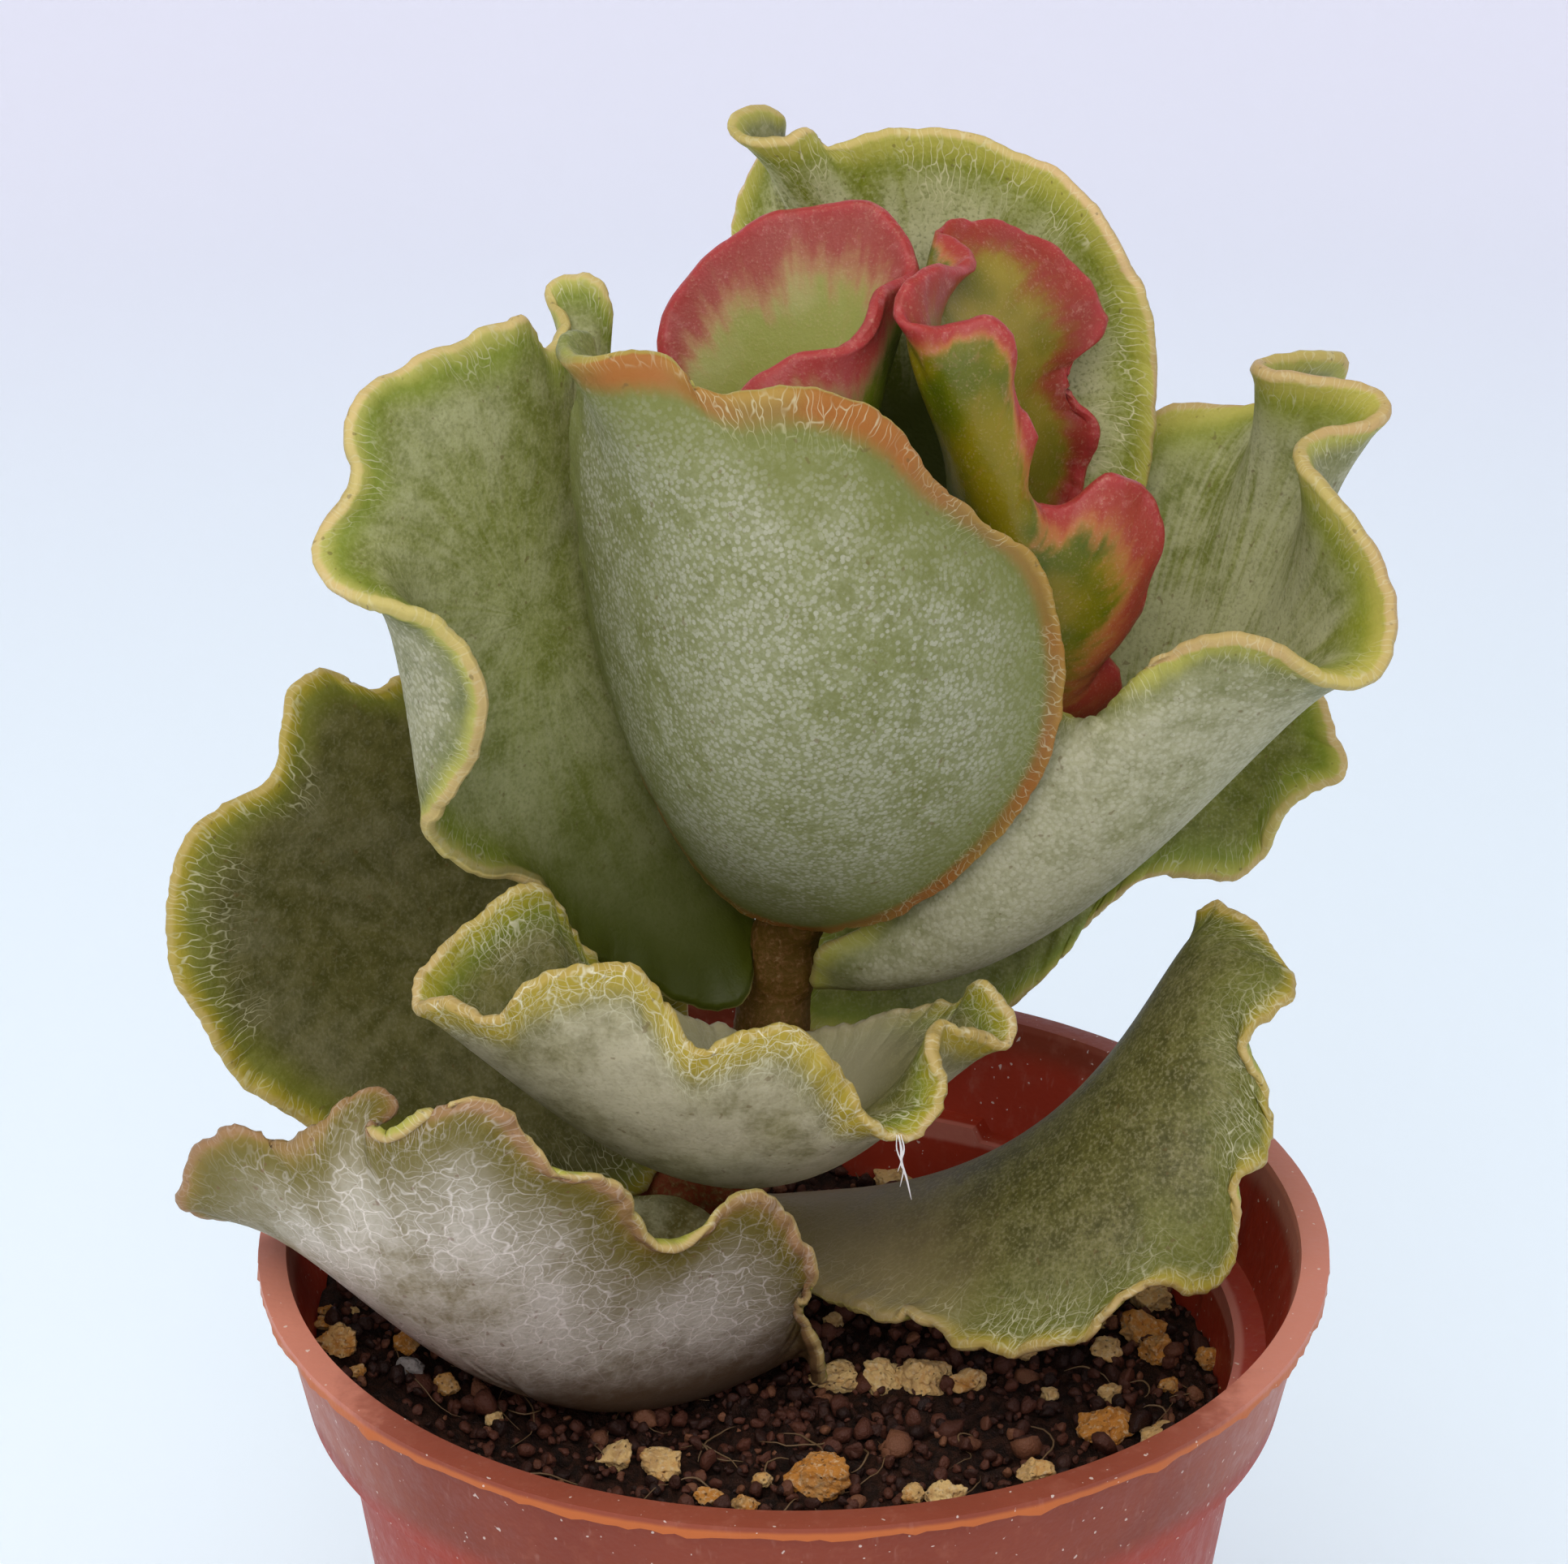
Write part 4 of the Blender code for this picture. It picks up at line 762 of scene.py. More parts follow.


# Foot settings paint shade where other leaves shade a leaf's foot; on leaf_j the foot colour is pale,
# painted light
# For each leaf, the face that the mesh marks 1 and the one that it marks 0
LOOKS = {
    "leaf_a": (
        outer_look(
            dark=(0.155, 0.165, 0.044), light=(0.185, 0.198, 0.060), bloom=(0.45, 0.44, 0.34),
            tan=(0.33, 0.105, 0.018), yellow=(0.44, 0.35, 0.07), wax=0.70, haze=0.2, flake=0.52,
            flakes_per_mm=3.9, bead=0.25, zone=0.7, band=0.9, rim=2.3, hairs=0.55, hair_reach=3.2,
            hair=(0.62, 0.58, 0.36), foot=0.0, left_band=0.0, green=(0.150, 0.165, 0.030),
            green_reach=10.5, green_share=0.8,
        ),
        face_look(),
    ),
    "leaf_b": (
        face_look(
            foot=1.0, foot_end=0.15, haze=0.45, deep=(0.050, 0.060, 0.003),
            yellow=(0.54, 0.49, 0.13), tan=(0.60, 0.44, 0.18), hairs=0.6,
        ),
        outer_look(dark=(0.15, 0.16, 0.05), light=(0.22, 0.225, 0.08), flake=0.5, haze=0.34),
    ),
    "leaf_c": (
        face_look(
            wax=0.62, haze=0.62, streak=1.8, zone=1.6, foot=0.6, foot_end=-0.3, hairs=0.6,
            green=(0.28, 0.31, 0.018), green_reach=5.5, yellow=(0.54, 0.47, 0.10),
        ),
        outer_look(wax=0.7, haze=0.42, flake=0.35, tan=(0.50, 0.33, 0.14), zone=1.2, hairs=0.6),
    ),
    "leaf_d": (
        face_look(
            dark=(0.18, 0.21, 0.014), light=(0.34, 0.36, 0.070), bloom=(0.75, 0.72, 0.43), wax=0.62,
            tan=(0.62, 0.42, 0.20), yellow=(0.54, 0.49, 0.09), green=(0.19, 0.215, 0.007), hairs=0.85,
            deep=(0.034, 0.042, 0.002), green_reach=8.5, green_share=0.75, zone=1.5, foot=1.0,
            foot_end=0.95, foot_start=0.3, foot_wide=0.3, haze=0.85, hair_reach=5.5, dust=0.4,
            hair=(0.70, 0.66, 0.38), streak=1.6,
        ),
        outer_look(),
    ),
    "leaf_g": (
        face_look(
            dark=(0.075, 0.070, 0.014), light=(0.125, 0.112, 0.030), bloom=(0.26, 0.24, 0.14),
            green=(0.19, 0.20, 0.018), yellow=(0.41, 0.31, 0.026), tan=(0.42, 0.31, 0.09), wax=0.35,
            hairs=0.75, hair_reach=4.6, hair=(0.60, 0.57, 0.35), green_reach=3.4, haze=0.3,
            flake=0.0, zone=0.8, rim=0.35,
        ),
        outer_look(dark=(0.12, 0.09, 0.02), light=(0.21, 0.15, 0.04), wax=0.3),
    ),
    "leaf_h": (
        outer_look(
            dark=(0.17, 0.155, 0.055), light=(0.26, 0.24, 0.10), bloom=(0.54, 0.49, 0.34),
            green=(0.22, 0.19, 0.020), yellow=(0.42, 0.31, 0.026), tan=(0.42, 0.29, 0.08), hairs=0.6,
            hair_reach=3.2, flake=0.12, haze=0.62, green_reach=3.0, green_share=0.7, zone=1.8,
            web=0.6, web_reach=4.0, hair=(0.72, 0.69, 0.50), rim=0.35, foot_wide=0.35,
        ),
        face_look(
            dark=(0.10, 0.100, 0.012), light=(0.17, 0.155, 0.028), bloom=(0.36, 0.33, 0.18), hairs=0.8,
            hair_reach=4.5, yellow=(0.38, 0.30, 0.022), wax=0.35, web=0.5, web_reach=6.0, zone=1.3,
            haze=0.4, deep=(0.42, 0.38, 0.24), foot=0.8, foot_end=0.3, foot_start=-0.3,
        ),
    ),
    "leaf_i": (
        outer_look(
            dark=(0.19, 0.155, 0.060), light=(0.30, 0.26, 0.14), bloom=(0.60, 0.56, 0.475),
            green=(0.140, 0.112, 0.016), yellow=(0.27, 0.175, 0.035), tan=(0.31, 0.17, 0.075),
            hair=(0.80, 0.74, 0.66), speck=(0.16, 0.07, 0.04), wax=0.72, haze=0.8, flake=0.10,
            hairs=0.4, web=0.75, web_inset=8.0, zone=1.2, rim=0.8, green_reach=9.5, green_share=1.0,
            # Painted shade: leaf_i's low part near the soil is laid brown and dark
            deep=(0.105, 0.068, 0.016), foot=0.55, foot_end=0.45, foot_start=-0.6, earth=0.92,
        ),
        face_look(dark=(0.12, 0.10, 0.02), light=(0.20, 0.16, 0.05), hairs=0.8, hair_reach=4.0),
    ),
    "leaf_j": (
        outer_look(
            dark=(0.068, 0.064, 0.012), light=(0.125, 0.116, 0.026), bloom=(0.28, 0.255, 0.135),
            green=(0.13, 0.142, 0.010), yellow=(0.37, 0.28, 0.024), tan=(0.38, 0.27, 0.07), wax=0.34,
            haze=0.28, flake=0.15, dust=0.4, hairs=0.6, hair_reach=4.2, green_reach=7.0,
            green_share=0.65, deep=(0.26, 0.195, 0.10), fleck=(0.03, 0.026, 0.005), foot=0.75,
            foot_end=0.0, foot_start=-0.55, zone=0.8, web=0.3, web_reach=5.0,
        ),
        face_look(hairs=0.8, yellow=(0.40, 0.36, 0.08)),
    ),
    "leaf_k": (
        face_look(
            dark=(0.12, 0.135, 0.016), light=(0.20, 0.215, 0.040), bloom=(0.40, 0.40, 0.22), wax=0.3,
            haze=0.3,
        ),
        outer_look(dark=(0.14, 0.15, 0.04), light=(0.24, 0.25, 0.09)),
    ),
}
print("looks of grown leaves:", sorted(LOOKS))


# %% What each face of a young leaf looks like
def young_look(**changes):
    """The colours of one face of a young leaf."""
    look = {
        "dark": (0.28, 0.29, 0.060), "light": (0.36, 0.35, 0.12), "warm": (0.42, 0.24, 0.10),
        "red": (0.30, 0.050, 0.034), "rim": (0.36, 0.038, 0.034), "dust": (0.60, 0.42, 0.26),
        "reach": 5.5, "low": 0.35, "top": 1.0,
    }
    look.update(changes)
    return look


YOUNG_LOOKS = {
    "leaf_e": (
        young_look(),
        young_look(
            dark=(0.08, 0.11, 0.002), light=(0.15, 0.19, 0.006), red=(0.37, 0.046, 0.038),
            rim=(0.38, 0.040, 0.036), reach=4.0,
        ),
    ),
    "leaf_f": (
        young_look(
            dark=(0.16, 0.14, 0.004), light=(0.28, 0.21, 0.020), warm=(0.24, 0.11, 0.008),
            red=(0.27, 0.036, 0.018), reach=5.2,
        ),
        young_look(
            dark=(0.075, 0.102, 0.001), light=(0.22, 0.17, 0.003), warm=(0.50, 0.20, 0.050),
            red=(0.34, 0.044, 0.024), reach=4.0, low=1.7, top=0.55,
        ),
    ),
}
print("looks of young leaves:", sorted(YOUNG_LOOKS))

# %% [markdown]
# A paint for leaves reads the marks of the mesh once, and picks each colour and amount by the face.

# %% Paint for a leaf
class LeafPaint(Paint):
    """Paint that knows how far along and in from the margin it is, and which face it is on."""

    def __init__(self, name, roughness, specular, looks, seed, shift):
        super().__init__(name, roughness, specular)
        self.seed, (self.upper, self.under) = seed, looks
        self.along, self.depth, self.face = self.parts(self.mark("skin"))
        self.side, self.across, _ = self.parts(self.mark("disc"))
        self.x, self.y, self.z = self.parts(self.spot)
        self.spot = self.moved(self.spot, tuple(seed * way for way in shift))

    def shade(self, key):
        """The colour with this name, on either face."""
        return self.blend(self.face, self.under[key], self.upper[key])

    def amount(self, key):
        """The number with this name, on either face."""
        if self.under[key] == self.upper[key]:
            return self.upper[key]
        return self.node("Mix", {0: self.face, 2: self.under[key], 3: self.upper[key]})

    def ribbon(self, scale, layer, detail=2.0, rough=0.5):
        """A noise that runs along the margin only."""
        return self.noise(scale, detail, rough, self.join(self.along, self.seed * layer), True)


# %% [markdown]
# The finish of a grown leaf is laid in the order in which the real one grew: mottled flesh, a veil of
# wax that runs in streaks from the margin, and flakes of wax with thin gaps and dust between them.

# %% Flesh and wax
def lay_wax(paint):
    shade, amount, depth = paint.shade, paint.amount, paint.depth
    patch, mottle, grit = paint.patch, paint.mottle, paint.grit
    paint.tone = paint.blend(mottle.step(0.32, 0.68), shade("dark"), shade("light"))
    run = paint.join(paint.along + paint.seed * 40.0, depth * 0.14)
    streak = (paint.noise(0.75, 2.0, 0.6, run, True) - 0.5) * amount("streak")
    cover = amount("wax") + (patch - 0.5) * 1.7 + (mottle - 0.5) * 1.1 + streak
    cover *= depth.step(0.7, 3.5)
    paint.lay(cover.step(0.0, 1.0) * amount("haze"), shade("bloom"))
    near, chance = paint.cells(paint.spot, amount("flakes_per_mm"))
    lot, other, _ = paint.parts(chance)
    flake = (cover - lot * 0.55).step(0.0, 0.32) * near.step(0.60, 0.40) * amount("flake")
    paint.lay(flake * (other * 0.55 + 0.6), shade("bloom"))
    paint.lay(grit.step(0.50, 0.68) * amount("dust"), shade("bloom"))
    paint.lay(grit.step(0.48, 0.30) * amount("dust"), shade("fleck"))
    return cover


# %% [markdown]
# Toward its margin the leaf turns green, then olive-yellow, and its thin rim is tan. Each of these
# zones wanders in width as it runs round the leaf. A leaf may lack them along its left side.

# %% Zones along the margin
def lay_zones(paint):
    shade, amount, depth, upper = paint.shade, paint.amount, paint.depth, paint.upper
    wander = paint.ribbon(0.22, 3.0)
    ridge = paint.ribbon(2.6, 7.0, 2.0, 0.6)
    bare = paint.side.step(-0.72, -0.52, upper["left_band"], 1.0)
    greener = depth.step(amount("green_reach") * (wander + 0.4), 0.3)
    paint.lay(greener * amount("green_share") * bare, shade("green"))
    width = amount("zone") * (wander * 0.7 + 0.45 + ridge * 0.4)
    paint.lay(depth.step(width + 0.5, width * 0.3) * bare * amount("band"), shade("yellow"))
    tan = paint.ribbon(0.12, 5.0).step(0.30, 0.60, 0.5, 1.0)
    rim = amount("rim") + (ridge - 0.5) * 0.3
    rim = depth.step(rim + 0.15, rim * 0.5) * tan * bare
    if upper["bead"]:
        # The outermost bead is paler than the line just inside it
        rim *= depth.step(0.10, upper["bead"], 0.25, 1.0)
    paint.lay(rim * 0.9, shade("tan"))
    return width, bare


# %% [markdown]
# Hair-fine white veins run in from the margin, close together, and meet in a net. They could be
# curves, but there are thousands and they lie in the skin, so they are the lines of a net of cells,
# stretched inward and swayed a little. On some leaves a wider web of pale lines lies over the wax.

# %% Veins and webs
HAIRS_PER_MM = 2.2
WEB_PER_MM = 0.85
WIDE_WEB_PER_MM = 0.92
FINE_WEB = 2.3
WHOLE_LEAF = 20.0


def lay_veins(paint, width, bare):
    shade, amount, depth = paint.shade, paint.amount, paint.depth
    ripple, warp = paint.noise(0.9, 1.0, 0.6, out=("Fac", "Color"))
    sway = paint.scaled(paint.moved(warp, (-0.5, -0.5, -0.5)), 0.8)
    inward = depth * 0.16 + depth * depth * 0.035
    run = paint.moved(paint.join(paint.along, inward, float(paint.seed)), sway)
    reach = amount("hair_reach") * (paint.ribbon(0.17, 9.0, 1.0).step(0.36, 0.60) * 0.9 + 0.30)
    hair = paint.net(run, HAIRS_PER_MM).step(0.085, 0.0) * depth.step(reach, reach * 0.2)
    hair *= ripple.step(0.30, 0.56, 0.25, 1.0) * amount("hairs")
    paint.lay(hair * depth.step(width * 0.4, width, 0.5, 1.0) * bare, shade("hair"))
    if paint.upper["web"] or paint.under["web"]:
        # Over a whole old leaf the web lies as the picture shows it, else it follows the margin
        net, per_mm = paint.join(paint.x * 0.8, paint.z + paint.y * -0.6), WIDE_WEB_PER_MM
        if paint.upper["web_reach"] < WHOLE_LEAF:
            net, per_mm = paint.join(paint.along * 0.75, depth * 1.4), WEB_PER_MM
        net = paint.moved(net, paint.scaled(sway, 1.5))
        fine = paint.net(net, per_mm * FINE_WEB).step(0.10, 0.0)
        web = paint.net(net, per_mm).step(0.060, 0.0) + fine * 0.6
        web *= paint.patch.step(0.36, 0.54, 0.25, 1.0) * depth.step(0.0, amount("web_inset"), 0.12, 1.0)
        paint.lay(web * depth.step(amount("web_reach"), 0.6) * amount("web"), shade("hair"))


# %% [markdown]
# Last come brown specks, painted shading at the foot of the leaf, and painted shade on a leaf that hangs
# low near the soil. The wax makes the skin a little rougher, and the mottles stand out as low relief.

# %% The finish of a grown leaf
# Painted shade: a dark brown laid where a leaf hangs low near the soil, in its shade
LOW_SHADE_BROWN = (0.10, 0.055, 0.022)
LOW_SHADE_START, LOW_SHADE_FULL = 50.5, 45.0


def lay_specks_and_shading(paint):
    shade, amount, upper = paint.shade, paint.amount, paint.upper
    paint.lay(paint.noise(2.2, 1.0, 0.5).step(0.70, 0.78) * 0.5, shade("speck"))
    # Painted shade at the leaf's foot where other leaves shade it; a pale foot colour, as on leaf_j, is
    # painted light
    foot = (paint.across + paint.patch * 0.3).step(amount("foot_end"), amount("foot_start"))
    if upper["foot_wide"] < 1.0:
        foot *= abs(paint.side).step(0.8, upper["foot_wide"])
    paint.lay(foot * amount("foot"), shade("deep"))
    # Painted shade on the low part of a leaf near the soil
    if upper["earth"]:
        low_shade_mask = (paint.z + paint.mottle * 4.0).step(LOW_SHADE_START, LOW_SHADE_FULL)
        paint.lay(low_shade_mask * amount("earth"), LOW_SHADE_BROWN)


def grown_skin(name, looks, seed):
    paint = LeafPaint(name, 0.6, 0.22, looks, seed, (17.3, -9.1, 5.7))
    paint.patch = paint.noise(0.16, 2.0, 0.55)
    paint.mottle = paint.noise(0.75, 3.5, 0.64)
    paint.grit = paint.noise(5.0, 1.0, 0.6)
    cover = lay_wax(paint)
    lay_veins(paint, *lay_zones(paint))
    lay_specks_and_shading(paint)
    paint.relief(paint.mottle + paint.grit * 0.5, 0.09, 0.6)
    paint.put(paint.shader["Roughness"], cover.step(0.0, 1.0, 0.48, 0.68))
    return paint


for seed, (name, looks) in enumerate(LOOKS.items(), 1):
    grown_skin(name + "_skin", looks, seed).coat(leaves[name])
print("grown leaves painted:", len(LOOKS))

# %% [markdown]
# The young leaves have no wax yet. They are smooth and satin, yellow-green where the blade is thick
# and crimson toward the margin, with the darkest red on the bead and patches of painted pink highlight.

# %% The finish of a young leaf
PINK_HIGHLIGHT = (0.58, 0.24, 0.20)


def young_skin(name, looks, seed):
    paint = LeafPaint(name, 0.38, 0.28, looks, seed, (11.3, -7.1, 3.7))
    shade, amount, depth = paint.shade, paint.amount, paint.depth
    patch = paint.noise(0.25, 2.0, 0.5)
    mottle = paint.noise(1.3, 3.0, 0.65)
    grit = paint.noise(7.0, 1.0, 0.6)
    wander = paint.ribbon(0.16, 3.0)
    streak = paint.noise(0.8, 2.0, 0.6, paint.join(paint.along, depth * 0.22), True)
    paint.tone = paint.blend(patch.step(0.35, 0.65), shade("dark"), shade("light"))
    high = paint.across.step(-0.5, 0.6, amount("low"), amount("top"))
    reach = amount("reach") * (wander * 1.3 + 0.35) * high
    flush = depth.step(reach, reach * 0.05) + (mottle - 0.5) * 0.4 + (streak - 0.5) * 0.7
    paint.lay(flush.step(0.05, 0.60, 0.0, 0.85), shade("warm"))
    paint.lay(flush.step(0.25, 0.90), shade("red"))
    paint.lay(depth.step(1.3, 0.1) * streak.step(0.35, 0.55, 0.5, 1.0), shade("rim"))
    # Painted highlight: pale pink patches on the red near the margin
    paint.lay(mottle.step(0.52, 0.75) * depth.step(4.0, 0.5) * 0.3, PINK_HIGHLIGHT)
    paint.lay(grit.step(0.54, 0.72) * mottle.step(0.3, 0.7, 0.05, 0.2), shade("dust"))
    paint.relief(patch * 1.5 + mottle * 1.2 + grit * 0.35, 0.07, 0.6)
    paint.put(paint.shader["Subsurface Weight"], 0.25)
    paint.put(paint.shader["Subsurface Radius"], (1.0, 0.5, 0.25))
    paint.put(paint.shader["Subsurface Scale"], 0.001)
    return paint


for seed, (name, looks) in enumerate(YOUNG_LOOKS.items(), 1):
    young_skin(name + "_skin", looks, seed).coat(leaves[name])
print("young leaves painted:", len(YOUNG_LOOKS))

# %% [markdown]
# The stem is short, brown and a little lumpy, with a cushion under each leaf where the leaf grows out
# of it. A tube along a smooth line would do for a plain stem; this one is also pushed out toward each
# leaf's base, so that no leaf looks stuck on.

# %% The stem
STEM_LINE = [
    (800, 1506, 13.0), (850, 1470, 12.5), (900, 1400, 12.2), (942, 1300, 11.8), (956, 1230, 11.6),
    (968, 1150, 11.4), (1005, 1080, 11.4), (1053, 984, 11.1),
]
STEM_FOOT_RADIUS = 2.6
STEM_TOP_RADIUS = 1.55
STEM_SEGMENTS = 48
STEM_RINGS = 110
STEM_SINK = 2.5
ROUND_END = 0.965
STEM_LUMPS = ((0.55, 0.22), (2.1, 0.09))
CUSHION_RISE = 0.85
CUSHION_REACH = 1.15
CUSHION_FLAT = 0.3


def stem_mesh():
    line = smooth_path([at_depth(*p) for p in STEM_LINE], False)
    line = np.concatenate([line[:1] - [[0.0, 0.0, STEM_SINK]], line])
    reach = np.append(0.0, np.cumsum(np.linalg.norm(np.diff(line, axis=0), axis=1)))
    wanted = np.linspace(0, reach[-1], STEM_RINGS)
    line = np.stack([np.interp(wanted, reach, line[:, k]) for k in range(3)], axis=1)
    ahead = np.gradient(line, axis=0)
    ahead /= np.linalg.norm(ahead, axis=1)[:, None]
    side = np.cross(ahead, [0.0, 1.0, 0.0])
    side /= np.linalg.norm(side, axis=1)[:, None]
    back = np.cross(side, ahead)
    bases = np.array([at_depth(*leaf["margin"][0]) for leaf in LEAVES.values()])
    corners = []
    for i, share in enumerate(np.linspace(0, 1, STEM_RINGS)):
        past = max(0.0, (share - ROUND_END) / (1 - ROUND_END))
        end = math.sqrt(max(0.0, 1 - past**2))
        radius = (STEM_FOOT_RADIUS * (1 - share) + STEM_TOP_RADIUS * share) * max(end, 0.02)
        for turn in np.arange(STEM_SEGMENTS) * 2 * math.pi / STEM_SEGMENTS:
            out = math.cos(turn) * side[i] - math.sin(turn) * back[i]
            spot = line[i] + radius * out
            lump = sum(size * noise.noise(Vector(spot * per_mm)) for per_mm, size in STEM_LUMPS)
            away = (np.linalg.norm(bases - spot, axis=1) - CUSHION_FLAT) / CUSHION_REACH
            lump += CUSHION_RISE * float(np.exp(-(away**2)).max())
            corners.append(spot + out * lump * end)
    rise = np.repeat(np.linspace(0, 1, STEM_RINGS), STEM_SEGMENTS)
    return np.array(corners), ring_faces(STEM_RINGS, STEM_SEGMENTS), rise


corners, faces, rise = stem_mesh()
stem = new_piece("stem_bark", corners, faces, "stem", "stem", rise=rise)
print("stem corners", len(corners))

# %% [markdown]
# Its bark is olive and smooth at the top, where it is young, and rust-brown and scaly near the soil.

# %% The finish of the stem
bark = Paint("stem_bark", 0.62, 0.2)
lumps = bark.noise(0.7, 3.0, 0.6)
scales = bark.noise(3.2, 4.0, 0.65)
young = (bark.mark("rise", "Fac") + lumps * 0.3).step(0.42, 0.75)
bark.tone = bark.blend(young, (0.165, 0.032, 0.006), (0.100, 0.053, 0.004))
bark.lay(scales.step(0.45, 0.62), (0.16, 0.075, 0.020))
bark.lay(scales.step(0.60, 0.70) * 0.7, (0.27, 0.18, 0.08))
bark.relief(lumps + scales, 0.18, 0.8)
bark.coat(stem)
print("stem finished")

# %% [markdown]
# The soil is peat crumb. Its bed is a disc whose height follows the same small mounds as the solid,
# higher at the left, where it has run over the pot's inner ledge. Loose crumbs, made once in a few
# shapes and copied at many sizes, then hide the bed. The pumice grains are balls cut by flat planes.

# %% The soil's height
SOIL_TOP = 40.2
LEFT_RISE = 2.4
LEDGE_RISE = 2.3
STEM_MOUND = 0.6
STEM_MOUND_REACH = 5.0


def soft_share(value, low, high):
    share = min(max((value - low) / (high - low), 0.0), 1.0)
    return share * share * (3 - 2 * share)


def at_left(x, y):
    """1 at the left side, where the soil lies over the ledge, and 0 from the middle on."""
    return soft_share(-x, 17.0, 23.5) * soft_share(abs(y), 17.0, 9.0)


def mounds(x, y, *sizes):
    """The sum of noises, each given by its height, its number of mounds a millimetre and its own layer."""
    return sum(high * noise.noise(Vector((many * x, many * y, layer))) for high, many, layer in sizes)


def soil_height(x, y):
    height = SOIL_TOP + mounds(x, y, (0.35, 0.35, 0.5), (0.28, 1.1, 3.5))
    height += LEFT_RISE * soft_share(-x, 8.0, 21.0)
    foot = at_depth(*STEM_LINE[0])
    away = math.hypot(x - foot[0], y - foot[1])
    height += STEM_MOUND * math.exp(-((away / STEM_MOUND_REACH) ** 2))
    return height + LEDGE_RISE * at_left(x, y)


print("soil height in the middle:", round(soil_height(0.0, 0.0), 2), "mm")

# %% The soil's bed
BED_RINGS = 66
BED_SEGMENTS = 200
BED_RADIUS = 23.2
BED_LEFT_EXTRA = 1.6
BED_BOTTOM = 36.0
BED_FOOT = 19.0


def bed_mesh():
    turns = 2 * math.pi * np.arange(BED_SEGMENTS) / BED_SEGMENTS
    corners = [(0.0, 0.0, soil_height(0.0, 0.0))]
    for ring in range(1, BED_RINGS + 1):
        for turn in turns:
            left = soft_share(-math.cos(turn), 0.78, 0.95)
            radius = (BED_RADIUS + BED_LEFT_EXTRA * left) * ring / BED_RINGS
            x, y = radius * math.cos(turn), radius * math.sin(turn)
            rough = mounds(x, y, (0.55, 1.5, 7.0), (0.35, 3.1, 9.0))
            corners.append((x, y, soil_height(x, y) + rough))
    corners += [(BED_FOOT * math.cos(turn), BED_FOOT * math.sin(turn), BED_BOTTOM) for turn in turns]
    corners.append((0.0, 0.0, BED_BOTTOM))
    first, last = 1 + np.arange(BED_SEGMENTS), 1 + BED_RINGS * BED_SEGMENTS + np.arange(BED_SEGMENTS)
    centre, under = np.zeros_like(first), np.full_like(first, len(corners) - 1)
    return corners, np.concatenate([
        np.stack([centre, first, np.roll(first, -1)], axis=1),
        halved(ring_faces(BED_RINGS + 1, BED_SEGMENTS, 1), turn_over=True),
        np.stack([np.roll(last, -1), last, under], axis=1),
    ])


corners, faces = bed_mesh()
bed = new_piece("soil_bed", corners, faces, "soil", "soil")
print("soil bed", len(faces), "triangles")

# %% [markdown]
# Pumice grains are angular and full of pores. Each could be carved by hand, but forty of them are made
# quicker from a ball: planes press it flat at a dozen places, and noise roughens it and pits it.

# %% Where the pumice grains lie
# Each grain: the picture spot of its middle, its width in pixels, and how orange it is
GRAINS = [
    (403, 1615, 22, 0.9), (436, 1615, 13, 0.0), (399, 1630, 26, 0.7), (420, 1652, 52, 0.5),
    (440, 1689, 20, 0.6), (500, 1655, 44, 0.8), (503, 1686, 42, -0.6), (548, 1707, 36, 0.6),
    (609, 1747, 28, 0.1), (759, 1793, 46, 0.15), (816, 1805, 58, 0.3), (873, 1844, 36, 0.7),
    (919, 1856, 40, 0.6), (942, 1825, 28, 0.3), (1009, 1820, 78, 0.85), (1027, 1628, 30, 0.1),
    (1029, 1699, 60, 0.15), (1085, 1695, 60, 0.1), (1140, 1697, 66, 0.3), (1190, 1703, 44, 0.4),
    (1128, 1841, 34, 0.4), (1167, 1847, 50, 0.0), (1417, 1603, 60, 0.3), (1364, 1628, 30, 0.2),
    (1408, 1638, 58, 0.7), (1430, 1665, 50, 0.8), (1364, 1662, 36, 0.3), (1265, 1670, 24, 0.1),
    (1491, 1674, 40, 0.9), (1201, 1702, 30, 0.2), (1295, 1718, 28, 0.1), (1368, 1716, 34, 0.3),
    (1442, 1709, 28, 0.8), (1364, 1759, 68, 0.9), (1426, 1768, 46, 0.4), (1276, 1819, 52, 0.4),
    (1100, 1453, 50, 0.2), (1513, 1709, 18, 0.2),
]

# %% Balls that luck turns and cuts
CUT_PRESS = 0.9
luck = np.random.default_rng(11)


def ball(levels):
    """The corners and faces of a ball of radius 1, from Blender's own icosphere."""
    bpy.ops.object.select_all(action="DESELECT")
    bpy.ops.mesh.primitive_ico_sphere_add(subdivisions=levels, radius=1.0)
    made = bpy.context.object
    corners = np.array([v.co[:] for v in made.data.vertices])
    faces = np.array([f.vertices[:] for f in made.data.polygons])
    bpy.data.objects.remove(made, do_unlink=True)
    return corners, faces


def turned(corners):
    """The corners turned by a turn that luck picks."""
    pick = luck.normal(size=4)
    w, x, y, z = pick / np.linalg.norm(pick)
    return corners @ np.array([
        [1 - 2 * (y * y + z * z), 2 * (x * y - z * w), 2 * (x * z + y * w)],
        [2 * (x * y + z * w), 1 - 2 * (x * x + z * z), 2 * (y * z - x * w)],
        [2 * (x * z - y * w), 2 * (y * z + x * w), 1 - 2 * (x * x + y * y)],
    ])


